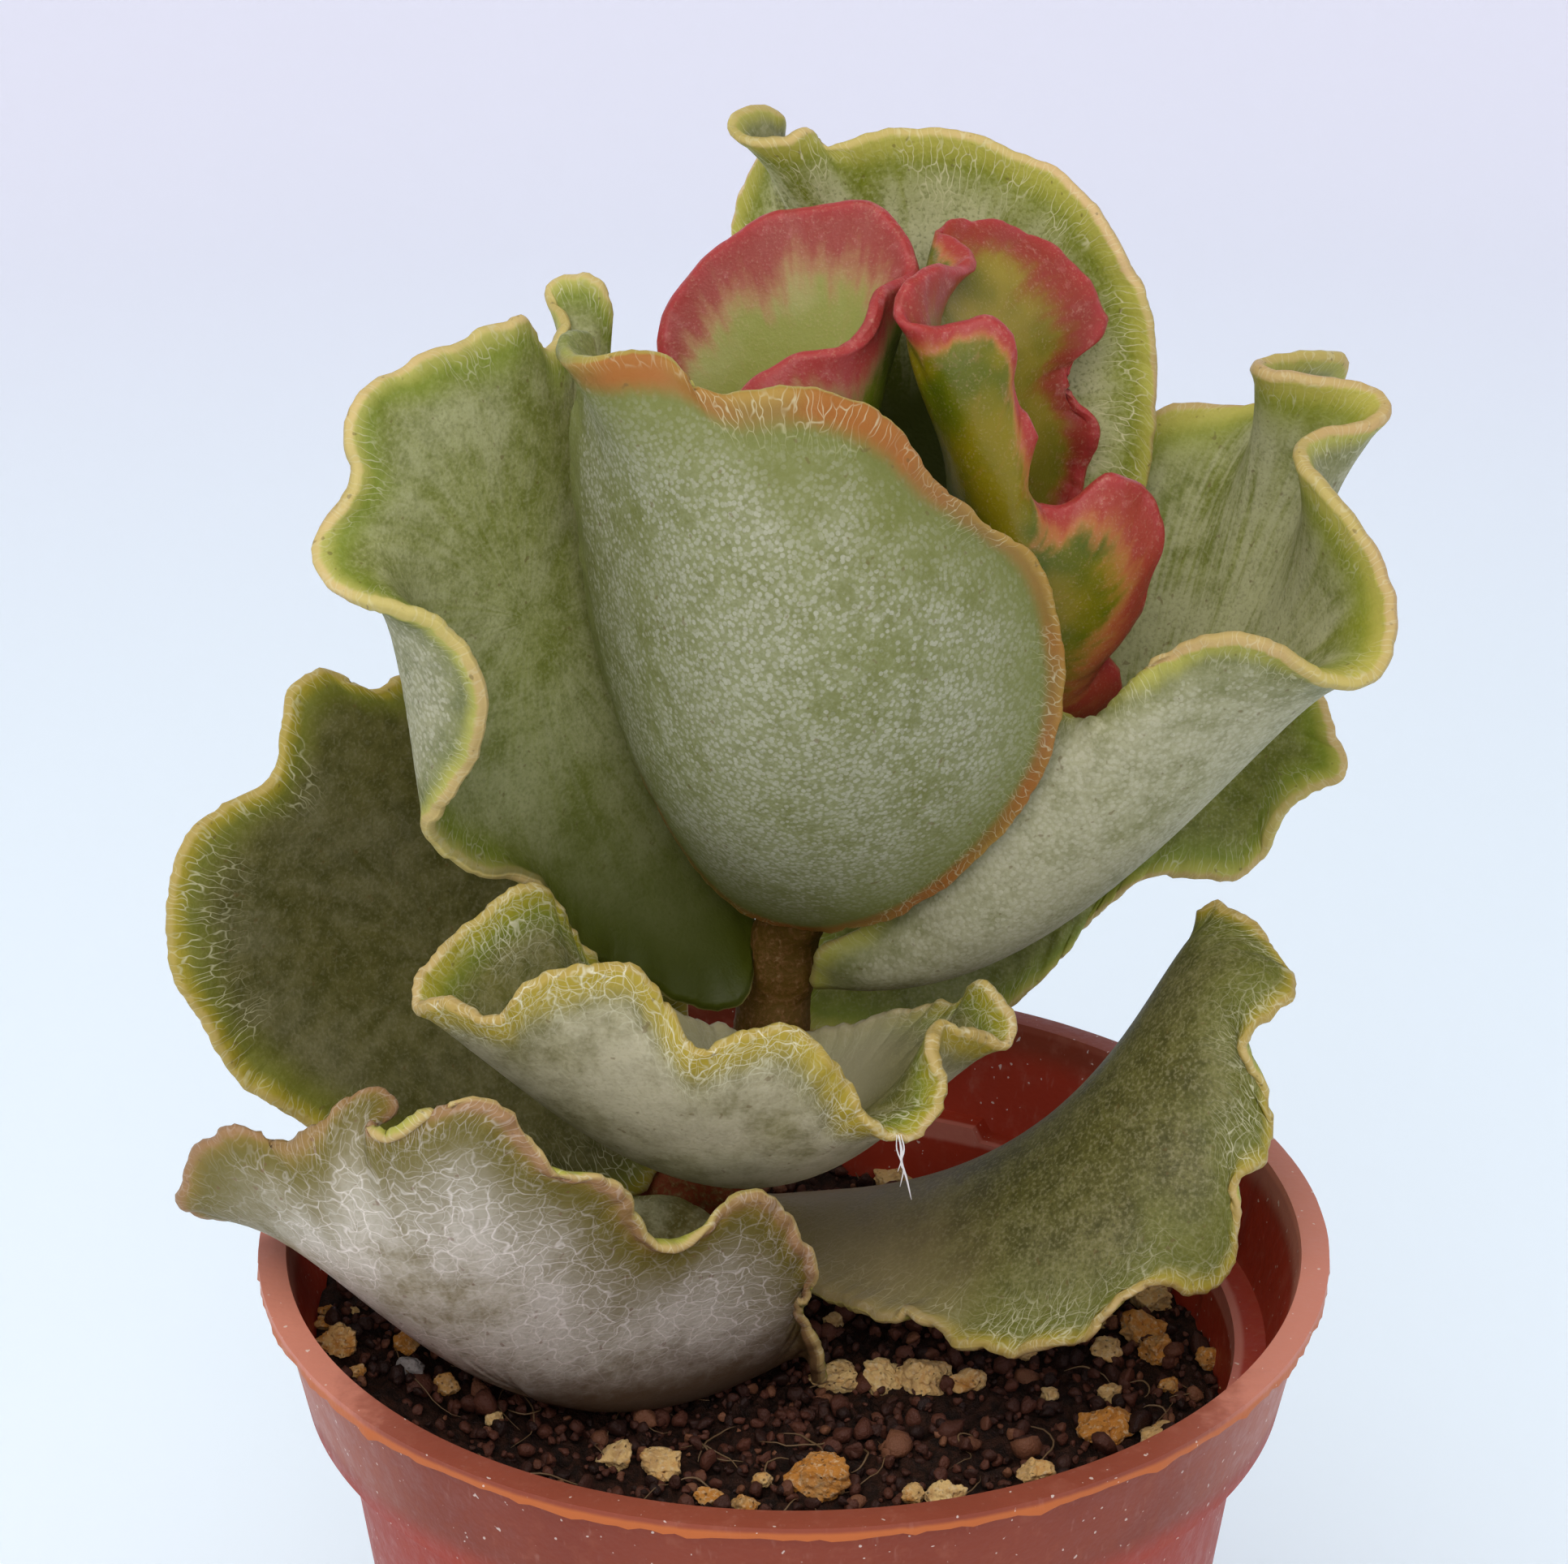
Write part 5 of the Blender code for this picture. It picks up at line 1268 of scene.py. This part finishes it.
def cut(corners, cuts, nearest, farthest):
    """The corners pressed flat by planes that luck picks."""
    for _ in range(cuts):
        facing = luck.normal(size=3)
        facing /= np.linalg.norm(facing)
        over = np.maximum(corners @ facing - luck.uniform(nearest, farthest), 0.0)
        corners = corners - CUT_PRESS * over[:, None] * facing
    return corners


def pitted(corners):
    """The corners of a stone, roughened and pitted."""
    shift = luck.uniform(0, 50, size=3)
    for k, corner in enumerate(corners):
        at = Vector(corner * 1.6 + shift)
        rough = 0.24 * noise.noise(at) + 0.13 * noise.noise(at * 2.6) + 0.05 * noise.noise(at * 6.0)
        pit = max(0.0, noise.noise(at * 2.3 + Vector((9, 3, 5))) - 0.2)
        corners[k] *= 1.0 + rough - 0.5 * pit
    return corners


# %% Loose shapes as one piece
def gathered(name, shapes, slot, tones=None):
    """One piece from many loose shapes, each a pair of corners and faces, and a tone for each."""
    counts = [len(corners) for corners, _ in shapes]
    starts = np.cumsum([0] + counts[:-1])
    faces = np.concatenate([faces + start for (_, faces), start in zip(shapes, starts)])
    corners = np.concatenate([corners for corners, _ in shapes])
    marks = {} if tones is None else {"tone": np.repeat(tones, counts)}
    return new_piece(name, corners, faces, None, slot, **marks)


# %% The pumice grains
GRAIN_CUTS = 13
GRAIN_HALF = 0.53
LARGE_GRAIN = 50
fine_ball, plain_ball = ball(5), ball(4)
shapes, grain_spots = [], []
for px, py, width, _ in GRAINS:
    spot = at_height(px, py, SOIL_TOP + 0.6)
    for _ in range(3):
        spot = at_height(px, py, soil_height(spot[0], spot[1]) + 0.4)
    size = width * np.linalg.norm(spot - EYE) / FOCAL
    squash = np.array([1.0, luck.uniform(0.75, 1.0), luck.uniform(0.6, 0.8)])
    ball_corners, ball_faces = fine_ball if width >= LARGE_GRAIN else plain_ball
    shape = turned(pitted(cut(ball_corners, GRAIN_CUTS, 0.55, 0.9))) * squash * size * GRAIN_HALF
    shapes.append((shape + spot + [0.0, 0.0, 0.02 * size], ball_faces))
    grain_spots.append((spot[0], spot[1], size / 2))
grains = gathered("pumice_grains", shapes, "soil", [grain[-1] for grain in GRAINS])
print("pumice grains", len(GRAINS))

# %% [markdown]
# Two sizes of crumb cover the bed. Seven shapes are cut once, and each crumb is a turned and stretched
# copy of one of them with its own corners, so that all of them are one plain mesh.

# %% Soil crumbs
CRUMBS = 1500
CRUMB_SHAPES = 7
CRUMB_CUTS = 6
CRUMB_FIELD = 22.4
CRUMB_LEFT_EXTRA = 1.8
GRAIN_ROOM = 0.75
crumb_ball, crumb_faces = ball(2)
crumb_shapes = []
for _ in range(CRUMB_SHAPES):
    shape = cut(crumb_ball, CRUMB_CUTS, 0.4, 0.85)
    crumb_shapes.append(shape * (1 + luck.normal(0, 0.07, size=(len(shape), 1))))


def scatter_crumbs(name, middle_size, spread, largest):
    """Crumbs over the bed, clear of the pumice grains, each a turned and stretched copy of a shape."""
    shapes, tones = [], []
    while len(shapes) < CRUMBS:
        radius = (CRUMB_FIELD + CRUMB_LEFT_EXTRA) * math.sqrt(luck.uniform())
        turn = luck.uniform(0, 2 * math.pi)
        x, y = radius * math.cos(turn), radius * math.sin(turn)
        if radius > CRUMB_FIELD + CRUMB_LEFT_EXTRA * at_left(x, y):
            continue
        if any(math.hypot(x - gx, y - gy) < GRAIN_ROOM * size for gx, gy, size in grain_spots):
            continue
        size = min(middle_size * math.exp(luck.normal(0.0, spread)), largest)
        squash = luck.uniform(0.55, 1.0, size=3)
        shape = turned(crumb_shapes[luck.integers(CRUMB_SHAPES)] * squash) * size
        shapes.append((shape + [x, y, soil_height(x, y) + luck.uniform(0.0, 1.3) * size], crumb_faces))
        tones.append(luck.uniform())
    print(name, len(crumb_faces) * CRUMBS, "triangles")
    return gathered(name, shapes, "soil", tones)


crumbs = [scatter_crumbs("soil_crumbs", 0.44, 0.34, 0.95), scatter_crumbs("soil_grit", 0.27, 0.35, 0.5)]

# %% [markdown]
# Thin straw-coloured fibres lie on the soil. Each is a tube of six sides along a bent line, which
# wanders a little at every step and stops at the pot's wall.

# %% Fibres and rootlets
FIBRES = 75
FIBRE_SIDES = 6
FIBRE_STEPS = 11
FIBRE_FIELD = 20.5
FIBRE_EDGE = 22.0


def tube(line, radius):
    """The corners and faces of a thin tube along a line of points, tapering to both ends."""
    line = np.asarray(line)
    ahead = np.gradient(line, axis=0)
    ahead /= np.linalg.norm(ahead, axis=1)[:, None] + 1e-12
    side = np.cross(ahead, [0.21, 0.34, 0.92])
    side /= np.linalg.norm(side, axis=1)[:, None] + 1e-12
    back = np.cross(ahead, side)
    turn = (2 * math.pi * np.arange(FIBRE_SIDES) / FIBRE_SIDES)[None, :, None]
    taper = np.clip(4 * np.linspace(0, 1, len(line)) * np.linspace(1, 0, len(line)), 0.15, 1) ** 0.5
    ring = np.cos(turn) * side[:, None] + np.sin(turn) * back[:, None]
    corners = (line[:, None] + ring * radius * taper[:, None, None]).reshape(-1, 3)
    last = (len(line) - 1) * FIBRE_SIDES
    ends = [(0, k + 1, k) for k in range(1, FIBRE_SIDES - 1)]
    ends += [(last, last + k, last + k + 1) for k in range(1, FIBRE_SIDES - 1)]
    return corners, np.concatenate([halved(ring_faces(len(line), FIBRE_SIDES)), ends])


shapes = []
for _ in range(FIBRES):
    radius = FIBRE_FIELD * math.sqrt(luck.uniform())
    turn = luck.uniform(0, 2 * math.pi)
    spot = np.array([radius * math.cos(turn), radius * math.sin(turn)])
    heading, bend, length = luck.uniform(0, 2 * math.pi), luck.normal(0, 0.16), luck.uniform(1.5, 6.0)
    line = []
    for k in range(FIBRE_STEPS + 1):
        if math.hypot(*spot) > FIBRE_EDGE:
            break
        lift = 0.35 + 0.25 * math.sin(math.pi * k / FIBRE_STEPS)
        line.append((spot[0], spot[1], soil_height(*spot) + lift))
        spot = spot + length / FIBRE_STEPS * np.array([math.cos(heading), math.sin(heading)])
        heading += bend + luck.normal(0, 0.10)
    if len(line) > 3:
        shapes.append(tube(line, luck.uniform(0.025, 0.06)))
fibres = gathered("soil_fibres", shapes, "soil")
print("fibres", len(shapes))

# %% [markdown]
# A small tuft of white fibre hangs from the frilled front leaf. It is four fine strands whose spots
# were read off the photograph.

# %% The tuft of white fibre
TUFT_DEPTH = -7.9
TUFT = [
    [(1107, 1398), (1110, 1414), (1111, 1432), (1117, 1452), (1123, 1478)],
    [(1110, 1398), (1114, 1416), (1110, 1434), (1116, 1446)],
    [(1105, 1398), (1105, 1416), (1113, 1440), (1109, 1462)],
    [(1108, 1400), (1112, 1424), (1106, 1444)],
]
TUFT_RADII = [0.06, 0.045, 0.04, 0.035]
TUFT_COARSE = 6
shapes = []
for line, radius in zip(TUFT, TUFT_RADII):
    path = smooth_path([at_depth(*spot, TUFT_DEPTH) for spot in line], False)
    shapes.append(tube(path[::TUFT_COARSE], radius))
tuft = gathered("leaf_h_tuft", shapes, "grown_leaf")
print("tuft strands", len(TUFT))

# %% [markdown]
# Wet peat is nearly black, and drier crumbs are red-brown. The grains are buff, stained orange where
# iron has soaked in, with dark pores. The mark called tone tells one crumb or grain from the next.

# %% Finishes of the soil, the grains and the fibres
peat = Paint("peat", 0.75, 0.2)
blots = peat.noise(1.4, 4.0, 0.6)
peat.tone = peat.blend(blots.step(0.35, 0.7), (0.010, 0.004, 0.002), (0.040, 0.014, 0.007))
peat.relief(peat.noise(5.0, 2.0, 0.7), 0.2, 1.0)
peat.coat(bed)

crumb = Paint("crumb", 0.62, 0.3)
tone = crumb.mark("tone", "Fac")
crumb.tone = crumb.blend(tone.step(0.0, 0.75), (0.018, 0.006, 0.0035), (0.095, 0.030, 0.016))
crumb.lay(tone.step(0.86, 0.97), (0.19, 0.075, 0.035))
crumb.relief(crumb.noise(6.0, 2.0, 0.7), 0.1, 1.0)
crumb.coat(*crumbs)

pumice = Paint("pumice", 0.85)
tone = pumice.mark("tone", "Fac")
blots = pumice.noise(0.9, 4.0, 0.6)
pores = pumice.cells(pumice.spot, 2.6, "Distance")
fine = pumice.noise(4.0, 4.0, 0.65)
pumice.tone = pumice.blend((blots + tone * 0.5).step(0.55, 0.95), (0.78, 0.53, 0.21), (0.56, 0.22, 0.028))
pumice.lay(fine.step(0.5, 0.7, 0.0, 0.6), (0.82, 0.68, 0.44))
pumice.lay(blots.step(0.50, 0.38, 0.0, 0.45), (0.34, 0.13, 0.025))
pumice.lay(pores.step(0.16, 0.05, 0.0, 0.65), (0.12, 0.06, 0.025))
pumice.lay(tone.step(-0.2, -0.5), (0.30, 0.27, 0.25))
pumice.relief(fine + pores.step(0.0, 0.25), 0.22, 0.9)
pumice.coat(grains)

fluff = Paint("white_fibre", 0.7)
fluff.tone = (0.80, 0.78, 0.74)
fluff.coat(tuft)
straw = Paint("straw", 0.6)
straw.tone = straw.blend(straw.noise(0.3, 3.0, 0.5), (0.07, 0.035, 0.014), (0.26, 0.16, 0.07))
straw.coat(fibres)
print("soil finished")

# %% [markdown]
# The pot is thin moulded plastic. It is modelled as it would be by hand: a ring of edges is drawn out,
# step by step, up the outside, over the lip and down the inside, and its corners are rounded with a
# bevel. The lip of a cheap pot has a ragged seam where the mould closed, so that edge is roughened.

# %% The pot
POT_SEGMENTS = 320
POT_FLOOR = 1.2
LEDGE_HEIGHT = 43.4
CORNER_ROUNDING = 0.22
POT_PROFILE = [
    (18.1, 0.0), (18.5, 0.4), (23.9, 42.6), (25.5, 42.6), (26.75, 49.2), (27.5, 49.4), (27.5, 50.0),
    (26.1, 50.0), (24.6, LEDGE_HEIGHT), (23.0, LEDGE_HEIGHT), (17.6, POT_FLOOR),
]
bpy.ops.object.select_all(action="DESELECT")
first_radius, first_height = POT_PROFILE[0]
bpy.ops.mesh.primitive_circle_add(vertices=POT_SEGMENTS, radius=first_radius * MM, fill_type="NOTHING")
pot = bpy.context.object
pot.name = pot.data.name = "pot_shell"
bpy.ops.object.mode_set(mode="EDIT")
bpy.ops.mesh.select_all(action="SELECT")
radius, height = first_radius, first_height
for next_radius, next_height in POT_PROFILE[1:]:
    rise = (next_height - height) * MM
    bpy.ops.mesh.extrude_region_move(TRANSFORM_OT_translate={"value": (0.0, 0.0, rise)})
    scale = next_radius / radius
    bpy.ops.transform.resize(value=(scale, scale, 1.0), center_override=(0.0, 0.0, 0.0))
    radius, height = next_radius, next_height
bpy.ops.mesh.fill()
bpy.ops.mesh.select_all(action="DESELECT")
bpy.ops.mesh.select_non_manifold()
bpy.ops.mesh.fill()
bpy.ops.mesh.select_all(action="SELECT")
bpy.ops.mesh.normals_make_consistent(inside=False)
bpy.ops.mesh.select_all(action="DESELECT")
bpy.ops.object.mode_set(mode="OBJECT")
rounding = pot.modifiers.new("rounding", "BEVEL")
rounding.width = CORNER_ROUNDING * MM
rounding.segments = 3
rounding.limit_method = "ANGLE"
bpy.ops.object.modifier_apply(modifier=rounding.name)
print("pot", len(pot.data.polygons), "faces")

# %% The ragged lip and the lugs of the pot
LIP_START, LIP_FULL = 26.9, 27.4
LIP_FOOT = 48.6
LIP_UNDER = 49.75
LIP_RAGGED = 0.16
LIP_SAG = 0.22
LEDGE_START, LEDGE_END = 22.6, 24.9
LUG_RISE = 0.8
LUG_TURNS = [(-48, 14), (62, 118), (172, 232)]
SHARP_ANGLE = 35


def ragged(corner):
    """A corner of the pot in millimetres, moved where the lip is rough or a lug stands on the ledge."""
    radius, turn = math.hypot(corner.x, corner.y), math.atan2(corner.y, corner.x)
    if radius > LIP_START and corner.z > LIP_FOOT:
        at = Vector((math.cos(turn), math.sin(turn), 0.0))
        burrs = max(0.0, noise.noise(at * 31.0)) + 0.5 * noise.noise(at * 60.0)
        rough = noise.noise(at * 9.0) * 0.8 + burrs
        share = soft_share(radius, LIP_START, LIP_FULL) * soft_share(corner.z, 50.2, 49.4)
        grow = 1 + LIP_RAGGED * rough * share / radius
        corner = Vector((corner.x * grow, corner.y * grow, corner.z))
        if corner.z < LIP_UNDER:
            corner.z -= LIP_SAG * max(0.0, rough) * soft_share(radius, 27.0, LIP_FULL)
    if abs(corner.z - LEDGE_HEIGHT) < 0.4 and LEDGE_START < radius < LEDGE_END:
        if any((math.degrees(turn) - low) % 360 < high - low for low, high in LUG_TURNS):
            corner.z += LUG_RISE
    return corner


for vertex in pot.data.vertices:
    vertex.co = ragged(vertex.co / MM) * MM
pot.data.polygons.foreach_set("use_smooth", np.ones(len(pot.data.polygons), dtype=bool))
bpy.ops.object.shade_smooth_by_angle(angle=math.radians(SHARP_ANGLE))
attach(pot, "root")
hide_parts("pot")
print("pot", len(pot.data.vertices), "corners")

# %% [markdown]
# Terracotta-coloured plastic is an even red-brown with a pale bloom of dust and water marks. The lip's
# outer edge is brighter and more orange, because the plastic is thin there and lets light through.

# %% The finish of the pot
plastic = Paint("terracotta_plastic", 0.46, 0.16)
clouds = plastic.noise(0.09, 2.0, 0.6)
dust = plastic.noise(0.8, 3.0, 0.65)
specks = plastic.noise(2.7, 1.0, 0.5)
x, y, z = plastic.parts(plastic.spot)
streak = plastic.noise(2.4, 2.0, 0.6, plastic.join(x, y, z * 0.25))
radius = (x * x + y * y).math("SQRT")
wide = abs(x)
plastic.tone = plastic.blend(clouds.step(0.3, 0.7), (0.190, 0.030, 0.012), (0.225, 0.041, 0.018))
# The inside is a deeper red; pale dust lies in patches, the left and right sides carry a painted sheen,
# and the lip's top there has dust and a painted highlight
plastic.lay(radius.step(25.9, 25.5) * z.step(49.9, 49.0), (0.33, 0.032, 0.013))
plastic.lay(dust.step(0.5, 0.75) * 0.12, (0.52, 0.24, 0.16))
# Painted sheen: paler toward the left and right sides of the pot's collar and lip
plastic.lay(wide.step(16.0, 27.0, 0.0, 0.5) * radius.step(25.6, 25.9), (0.68, 0.28, 0.20))
# Dust and a painted highlight on the lip's top, more toward both sides
lip_dust_and_sheen = (wide + dust * 5.0).step(21.5, 25.0, 0.1, 0.8)
plastic.lay(z.step(49.5, 49.75) * lip_dust_and_sheen, (0.60, 0.225, 0.15))
# A painted highlight along the ledge's inner edge, rain marks, the bright edge of the lip, and specks of
# dust
ledge = radius.step(22.7, 22.9) * radius.step(23.6, 23.3)
ledge *= z.step(LEDGE_HEIGHT - 0.4, LEDGE_HEIGHT - 0.1)
plastic.lay(ledge * 0.55, (0.60, 0.24, 0.18))
plastic.lay(streak.step(0.6, 0.8) * 0.16, (0.52, 0.30, 0.24))
edge = z.step(48.8, 49.2) * z.step(49.85, 49.6) * radius.step(27.0, 27.4)
plastic.lay(edge * 0.8, (0.52, 0.14, 0.035))
plastic.lay(specks.step(0.735, 0.76, 0.0, 0.7), (0.72, 0.60, 0.52))
plastic.relief(dust * 0.6 + streak * 0.5 + specks, 0.05, 0.5)
plastic.put(plastic.shader["Roughness"], dust.step(0.3, 0.7, 0.38, 0.55))
plastic.coat(pot)
print("pot finished")

# %% [markdown]
# The plant stands in a pale sweep of paper with broad soft light from above and a little from the
# front, so that there is no hard shadow anywhere.

# %% Floor and backdrop
SWEEP_FLOOR = 420.0
SWEEP_BEND = 300.0
SWEEP_TOP = 900.0
SWEEP_SEGMENTS = 96
BEND_STEPS = 18

line = [(0.0, 0.0), (60.0, 0.0), (150.0, 0.0), (SWEEP_FLOOR, 0.0)]
for k in range(1, BEND_STEPS + 1):
    turn = math.pi / 2 * k / BEND_STEPS
    line.append((SWEEP_FLOOR + SWEEP_BEND * math.sin(turn), SWEEP_BEND * (1 - math.cos(turn))))
line.append((SWEEP_FLOOR + SWEEP_BEND, SWEEP_TOP))
profile = bpy.data.meshes.new("sweep")
edges = [(k, k + 1) for k in range(len(line) - 1)]
profile.from_pydata([(r * MM, 0.0, z * MM) for r, z in line], edges, [])
sweep = bpy.data.objects.new("sweep", profile)
bpy.context.scene.collection.objects.link(sweep)
bpy.ops.object.select_all(action="DESELECT")
bpy.context.view_layer.objects.active = sweep
sweep.select_set(True)
bpy.ops.object.mode_set(mode="EDIT")
bpy.ops.mesh.select_all(action="SELECT")
bpy.ops.mesh.spin(
    steps=SWEEP_SEGMENTS, angle=2 * math.pi, center=(0.0, 0.0, 0.0), axis=(0.0, 0.0, 1.0)
)
bpy.ops.mesh.select_all(action="SELECT")
bpy.ops.mesh.remove_doubles(threshold=0.01 * MM)
bpy.ops.mesh.normals_make_consistent(inside=True)
bpy.ops.object.mode_set(mode="OBJECT")
bpy.ops.object.shade_smooth()
paper = Paint("sweep_paper", 0.9, 0.1)
x, y, z = paper.parts(paper.spot)
away = (x * x + y * y).math("SQRT")
paper.tone = paper.blend(away.step(160.0, 580.0), (0.805, 0.90, 0.945), (0.865, 0.87, 0.955))
paper.put(paper.shader["Emission Color"], paper.tone)
paper.put(paper.shader["Emission Strength"], 0.165)
paper.coat(sweep)
print("sweep", len(sweep.data.polygons), "faces")

# %% [markdown]
# Two lamps give the light, one over the plant and a weaker one in front, and the room adds a little
# from all round. Small lamps would make hard shadows, so these are half a metre wide, like the cloth
# boxes of a studio.

# %% Light
world = bpy.data.worlds.new("soft_room")
world.use_nodes = True
world.node_tree.nodes["Background"].inputs["Color"].default_value = (1.0, 0.98, 0.95, 1.0)
world.node_tree.nodes["Background"].inputs["Strength"].default_value = 0.11
bpy.context.scene.world = world


def soft_box(name, place, aim, size, power, colour):
    light = bpy.data.lights.new(name, "AREA")
    light.shape = "RECTANGLE"
    light.size, light.size_y = (s * MM for s in size)
    light.energy = power
    light.color = colour
    lamp = bpy.data.objects.new(name, light)
    bpy.context.scene.collection.objects.link(lamp)
    lamp.location = Vector(place) * MM
    toward = Vector(aim) - Vector(place)
    lamp.rotation_euler = toward.to_track_quat("-Z", "Y").to_euler()


soft_box("top_light", (-90, -160, 600), (0, 0, 60), (620, 520), 1.82, (1.0, 0.98, 0.94))
soft_box("front_light", (-60, -480, 400), (0, 0, 60), (420, 320), 1.1, (1.0, 0.97, 0.92))
bpy.context.scene.view_settings.view_transform = "Standard"
bpy.context.scene.view_settings.look = "None"
